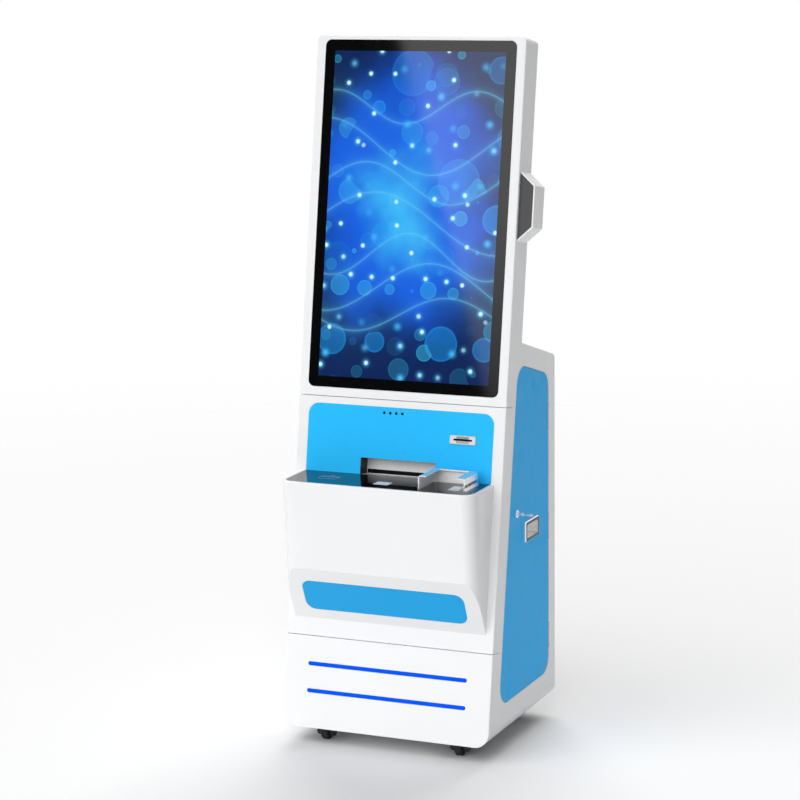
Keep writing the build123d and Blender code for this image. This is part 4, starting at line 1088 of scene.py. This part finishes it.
def set_room():
    """White to the camera, dim as a light, and the curtained room to gloss."""
    world = bpy.data.worlds.new("Studio room")
    bpy.context.scene.world = world
    world.use_nodes = True
    world.node_tree.nodes.clear()
    wiring = Wiring(world.node_tree)
    path = wiring.add("ShaderNodeLightPath").outputs
    seen = wiring.math("MAXIMUM", path["Is Camera Ray"], path["Is Transmission Ray"])
    light = wiring.ramp(seen, 0.0, 1.0, stage().room_light, 1.0)
    mirrored = wiring.math("MULTIPLY", path["Is Glossy Ray"], room_in_mirrors(wiring))
    plain = wiring.math("MULTIPLY", wiring.math("SUBTRACT", 1.0, path["Is Glossy Ray"]), light)
    sockets = {"Color": WHITE, "Strength": wiring.math("ADD", mirrored, plain)}
    background = wiring.add("ShaderNodeBackground", sockets)
    wiring.add("ShaderNodeOutputWorld", {"Surface": background.outputs[0]})


def add_floor():
    """A pale disc that fades out into the white room."""
    chosen = stage()
    radius = chosen.floor_radius
    mesh = bpy.data.meshes.new("studio_floor")
    work = bmesh.new()
    bmesh.ops.create_circle(work, cap_ends=True, cap_tris=True, segments=96, radius=radius)
    work.to_mesh(mesh)
    work.free()
    floor = bpy.data.objects.new("studio_floor", mesh)
    bpy.context.scene.collection.objects.link(floor)
    material, wiring, shader = start_material("Pale studio floor")
    far = wiring.vector("LENGTH", place_in_row(wiring))["Value"]
    seen = wiring.add("ShaderNodeLightPath").outputs["Is Camera Ray"]
    wiring.feed_all(shader, {
        "Alpha": wiring.ramp(far, radius, FLOOR_FADE_START * radius),
        "Base Color": wiring.mix(seen, chosen.floor_tone, chosen.floor_seen),
        "Roughness": 0.6,
        "Specular IOR Level": 0.0,
    })
    mesh.materials.append(material)


class KIOSK_OT_set_stage(bpy.types.Operator):
    """Set the floor, the room's light, the lamps and the camera"""

    bl_idname = "kiosk.set_stage"
    bl_label = "Set the stage"

    def execute(self, context):
        context.scene.view_settings.view_transform = "Standard"
        add_camera()
        set_room()
        add_floor()
        add_sky_lamp("Front soft light", FRONT_LAMP_FROM, stage().front_light, FRONT_LAMP_SPREAD)
        add_sky_lamp("Back soft light", BACK_LAMP_FROM, stage().back_light, BACK_LAMP_SPREAD)
        return {"FINISHED"}


STEPS = (
    KIOSK_OT_coat_cabinet,
    KIOSK_OT_coat_blue_panels,
    KIOSK_OT_light_strips,
    KIOSK_OT_light_screen,
    KIOSK_OT_finish_console_top,
    KIOSK_OT_finish_fittings,
    KIOSK_OT_finish_castors,
    KIOSK_OT_finish_inside,
    KIOSK_OT_add_tap_mark,
    KIOSK_OT_add_document_window,
    KIOSK_OT_add_door_screws,
    KIOSK_OT_set_stage,
)


class KIOSK_PT_dressing(bpy.types.Panel):
    """Lists the steps that dress the kiosk"""

    bl_label = "Kiosk"
    bl_idname = "KIOSK_PT_dressing"
    bl_space_type = "VIEW_3D"
    bl_region_type = "UI"
    bl_category = "Kiosk"

    def draw(self, context):
        for step in STEPS:
            self.layout.operator(step.bl_idname)


GROUPS = {
    "kiosk_finishes": KioskFinishes,
    "kiosk_sizes": KioskSizes,
    "kiosk_stage": KioskStage,
}
CLASSES = (*GROUPS.values(), *STEPS, KIOSK_PT_dressing)


def register():
    for kind in CLASSES:
        bpy.utils.register_class(kind)
    for name, kind in GROUPS.items():
        setattr(bpy.types.Scene, name, PointerProperty(type=kind))


def unregister():
    for name in GROUPS:
        delattr(bpy.types.Scene, name)
    for kind in reversed(CLASSES):
        bpy.utils.unregister_class(kind)


def main():
    register()
    for step in STEPS:
        family, action = step.bl_idname.split(".")
        getattr(getattr(bpy.ops, family), action)()


if __name__ == "__main__":
    main()
